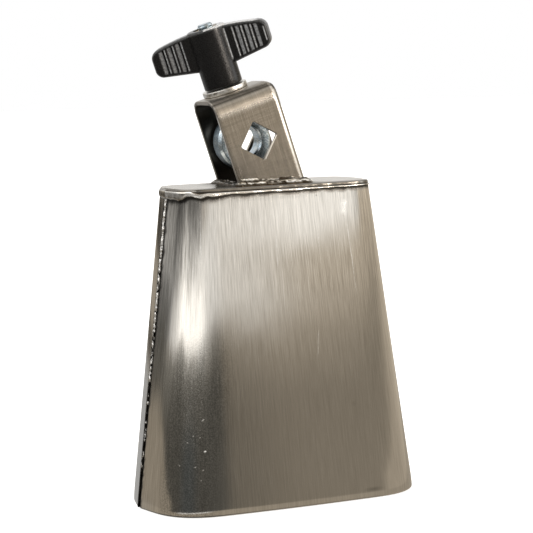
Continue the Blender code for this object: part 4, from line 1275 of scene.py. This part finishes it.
class Studio:
    """Soft studio light as a world: panels and dark flags laid out by
    compass direction (0 in front, 90 to the right) and height in degrees."""

    def __init__(self):
        world = bpy.data.worlds.new("studio")
        bpy.context.scene.world = world
        world.use_nodes = True
        self.nt = world.node_tree
        self.back = self.nt.nodes["Background"]
        way = self.node("TexCoord").outputs["Generated"]
        xyz = self.node("SeparateXYZ", {0: way}).outputs
        turn = self.math("ARCTAN2", xyz[0], self.math("MULTIPLY", xyz[1], -1.0))
        self.az = self.math("MULTIPLY", turn, 180.0 / math.pi)
        self.el = self.math("MULTIPLY", self.math("ARCSINE", xyz[2]), 180.0 / math.pi)
        self.xyz = xyz
        self.env = None

    def node(self, kind, inputs=(), **props):
        n = self.nt.nodes.new("ShaderNode" + kind)
        for key, value in props.items():
            setattr(n, key, value)
        for key, value in dict(inputs).items():
            if hasattr(value, "is_output"):
                self.nt.links.new(value, n.inputs[key])
            else:
                n.inputs[key].default_value = value
        return n

    def math(self, op, a, b=0.0, c=0.0):
        return self.node("Math", {0: a, 1: b, 2: c}, operation=op).outputs[0]

    def step(self, value, a, b):
        return self.node("MapRange", {"Value": value, "From Min": a, "From Max": b, "To Min": 0.0, "To Max": 1.0},
                         interpolation_type="SMOOTHSTEP").outputs["Result"]

    def around(self, centre, half, soft):
        off = self.math("ABSOLUTE", self.math("WRAP", self.math("SUBTRACT", self.az, centre), 180.0, -180.0))
        return self.math("SUBTRACT", 1.0, self.step(off, half - soft, half + soft))

    def between(self, low, low_soft, high, high_soft):
        return self.math("SUBTRACT", self.step(self.el, low - low_soft, low + low_soft),
                         self.step(self.el, high - high_soft, high + high_soft))

    def paint(self, colour, strength, *shapes, amount=1.0):
        if hasattr(strength, "is_output"):
            light = self.node("VectorMath", {0: colour, "Scale": strength}, operation="SCALE").outputs[0]
        else:
            light = (*[c * strength for c in colour], 1.0)
        if self.env is None:
            self.env = light
            return
        factor = shapes[0]
        for other in shapes[1:]:
            factor = self.math("MULTIPLY", factor, other)
        if amount != 1.0:
            factor = self.math("MULTIPLY", factor, amount)
        n = self.node("Mix", data_type="RGBA", blend_type="MIX")
        for key, value in ((0, factor), (6, self.env), (7, light)):
            if hasattr(value, "is_output"):
                self.nt.links.new(value, n.inputs[key])
            else:
                n.inputs[key].default_value = value
        self.env = n.outputs[2]

    def finish(self):
        """White behind the object, the studio everywhere else."""
        seen = self.node("LightPath").outputs["Is Camera Ray"]
        n = self.node("Mix", {0: seen, 6: self.env, 7: (1.0, 1.0, 1.0, 1.0)}, data_type="RGBA")
        self.nt.links.new(n.outputs[2], self.back.inputs["Color"])
        self.back.inputs["Strength"].default_value = 1.0


WARM, NEUTRAL, COOL = (1.0, 0.89, 0.735), (1.0, 1.0, 0.995), (0.70, 0.93, 1.12)
SHADE = (1.0, 0.97, 0.88)
st = Studio()
level, az = st.el, st.az
down = st.math("MULTIPLY", level, -1.0)
left = st.math("MULTIPLY", az, -1.0)


def plus(*terms):
    total = terms[0]
    for term in terms[1:]:
        total = st.math("ADD", total, term)
    return total


def times(a, b):
    return st.math("MULTIPLY", a, b)


def upto(value, a, b):
    """1 below a, 0 above b."""
    return st.math("SUBTRACT", 1.0, st.step(value, a, b))


st.paint(WARM, 0.40)
# right: a warm wall that brightens upwards and to the side
wall = plus(0.21, times(st.step(az, 16.5, 21.5), 0.085), times(st.step(az, 44.0, 122.0), 0.36), times(st.step(level, 0.5, 5.0), 0.36))
st.paint(WARM, wall, st.step(az, 12.0, 14.0), upto(az, 150.0, 165.0), upto(level, 6.0, 9.0))
# front: soft panel, room above it, a strip light, dark ceiling
st.paint(WARM, 0.50, st.between(7.5, 1.0, 48.0, 4.0), st.around(5.0, 60.0, 20.0))
st.paint(NEUTRAL, 1.06, st.between(3.0, 0.8, 7.0, 0.9), st.around(-4.0, 25.0, 4.0))
st.paint(NEUTRAL, 1.40, st.between(5.2, 0.5, 8.5, 1.5), st.around(28.0, 7.0, 2.5))
st.paint(NEUTRAL, 0.85, st.between(5.0, 0.5, 8.0, 1.0), st.around(36.0, 6.0, 4.0))
st.paint(WARM, 0.36, st.step(level, 54.0, 70.0))
st.paint(NEUTRAL, 1.25, st.between(49.0, 5.0, 57.0, 4.0), st.around(12.0, 35.0, 12.0))
# right and high: tall panel, small key light
st.paint(WARM, 0.34, st.between(6.0, 1.0, 50.0, 8.0), st.around(112.0, 30.0, 5.0))
st.paint(NEUTRAL, 2.6, st.between(5.4, 0.5, 45.0, 8.0), st.around(68.0, 13.0, 4.0))
st.paint((1.0, 0.90, 0.80), 37.0, st.between(8.6, 0.8, 15.5, 2.0), st.around(37.0, 7.0, 3.0))
st.paint(NEUTRAL, 1.7, st.between(46.0, 4.0, 79.0, 3.0), st.around(82.0, 38.0, 10.0))
# left: long side light, brightest along its lower edge, sinking to the back
st.el = plus(level, times(st.math("MAXIMUM", st.math("SUBTRACT", -82.0, az), 0.0), 0.08),
             times(st.step(az, -68.0, -50.0), -0.3))
glow = st.math("MINIMUM", st.math("MAXIMUM", times(st.math("SUBTRACT", 8.25, st.el), 0.5), 0.2), 2.3)
glow = times(glow, plus(1.0, times(st.step(left, 84.0, 114.0), -0.5), times(st.step(left, 114.0, 122.0), -0.08),
                        times(st.step(left, 122.0, 135.0), -0.30)))
back = plus(0.36, times(times(st.step(level, 0.4, 1.1), upto(level, 1.7, 2.6)), 0.2))
glow = st.math("MAXIMUM", glow, times(times(st.step(left, 126.0, 136.0), back), st.step(level, 0.0, 1.2)))
st.paint(NEUTRAL, glow, st.between(3.5, 0.4, 30.0, 5.0), st.step(az, -165.0, -145.0), upto(az, -24.0, 2.0))
st.paint(NEUTRAL, 1.9, st.between(13.0, 2.5, 42.0, 6.0), st.around(-95.0, 50.0, 12.0))
# dark flag under it
deep = plus(0.113, times(st.step(st.el, 0.8, 3.2), 0.09))
turn = st.step(az, -24.0, -4.0)
soft = st.math("DIVIDE", st.math("SUBTRACT", plus(3.0, times(turn, -1.4)), st.el), plus(0.9, times(turn, 1.4)))
st.paint(SHADE, deep, st.step(plus(soft, 1.0), 0.0, 1.0), st.step(az, -165.0, -150.0), upto(az, 14.0, 18.6))
st.paint(COOL, 0.12, upto(st.el, 0.5, 2.5), st.around(-52.0, 16.0, 12.0), amount=0.35)
st.el = level
st.paint(SHADE, 0.11, st.between(-2.4, 0.25, -0.1, 0.5), st.around(-145.0, 10.0, 4.0))
# table, to the left and right
st.paint(WARM, 0.36, st.between(-16.0, 2.0, -2.45, 0.3), st.around(-125.0, 32.0, 6.0))
table = plus(0.48, times(st.step(az, 80.0, 130.0), 0.16))
st.paint(WARM, table, st.between(-60.0, 10.0, -2.5, 0.3), st.around(90.0, 50.0, 6.0))
st.paint(WARM, 0.42, st.between(-15.0, 2.0, -7.2, 0.4), upto(st.math("ABSOLUTE", az), 150.0, 160.0))
st.paint(SHADE, 0.11, upto(level, -17.0, -13.0), st.around(-70.0, 85.0, 8.0))
st.paint(NEUTRAL, 0.95, st.between(-8.1, 0.3, -6.9, 0.3), st.around(-40.0, 36.0, 8.0))
# behind
st.paint(WARM, 0.06, st.between(-6.1, 0.3, -0.5, 0.4), st.around(-176.0, 16.0, 6.0))
st.paint(WARM, 0.40, st.between(-5.1, 0.2, -2.75, 0.25), st.around(-176.0, 16.0, 6.0))
st.paint(NEUTRAL, 0.46, st.between(-26.0, 4.0, -6.4, 0.3), st.around(-172.0, 30.0, 10.0))
st.paint(NEUTRAL, 0.85, st.between(2.9, 0.6, 9.0, 2.0), st.around(165.0, 34.0, 14.0))
st.paint(NEUTRAL, 1.15, st.between(9.0, 2.0, 23.0, 4.0), st.around(165.0, 34.0, 14.0))
st.paint(NEUTRAL, 0.64, st.between(23.0, 4.0, 42.0, 5.0), st.around(165.0, 34.0, 14.0))
# overhead, to the left and behind
across = plus(times(st.xyz[0], -0.8), times(st.xyz[1], 0.6))
st.paint(NEUTRAL, 1.3, st.step(level, 36.0, 50.0), st.step(across, 0.05, 0.45))
st.finish()


def camera():
    az, el, roll = math.radians(-22.55), math.radians(6.1), math.radians(1.73)
    target, distance = Vector((-0.000189, 0.0, 0.083673)), 0.714789
    back = Vector((math.sin(az) * math.cos(el), -math.cos(az) * math.cos(el), math.sin(el)))
    ahead = -back
    right = ahead.cross(Vector((0, 0, 1))).normalized()
    up = right.cross(ahead)
    right, up = right * math.cos(roll) - up * math.sin(roll), right * math.sin(roll) + up * math.cos(roll)
    data = bpy.data.cameras.new("camera")
    data.lens, data.sensor_width, data.sensor_fit = 132.24, 36.0, "HORIZONTAL"
    data.clip_start, data.clip_end = 0.01, 50.0
    obj = bpy.data.objects.new("camera", data)
    bpy.context.scene.collection.objects.link(obj)
    spot = target + back * distance
    obj.matrix_world = Matrix(((right.x, up.x, back.x, spot.x), (right.y, up.y, back.y, spot.y),
                               (right.z, up.z, back.z, spot.z), (0, 0, 0, 1)))
    bpy.context.scene.camera = obj


camera()
scene = bpy.context.scene
scene.view_settings.view_transform = "Standard"
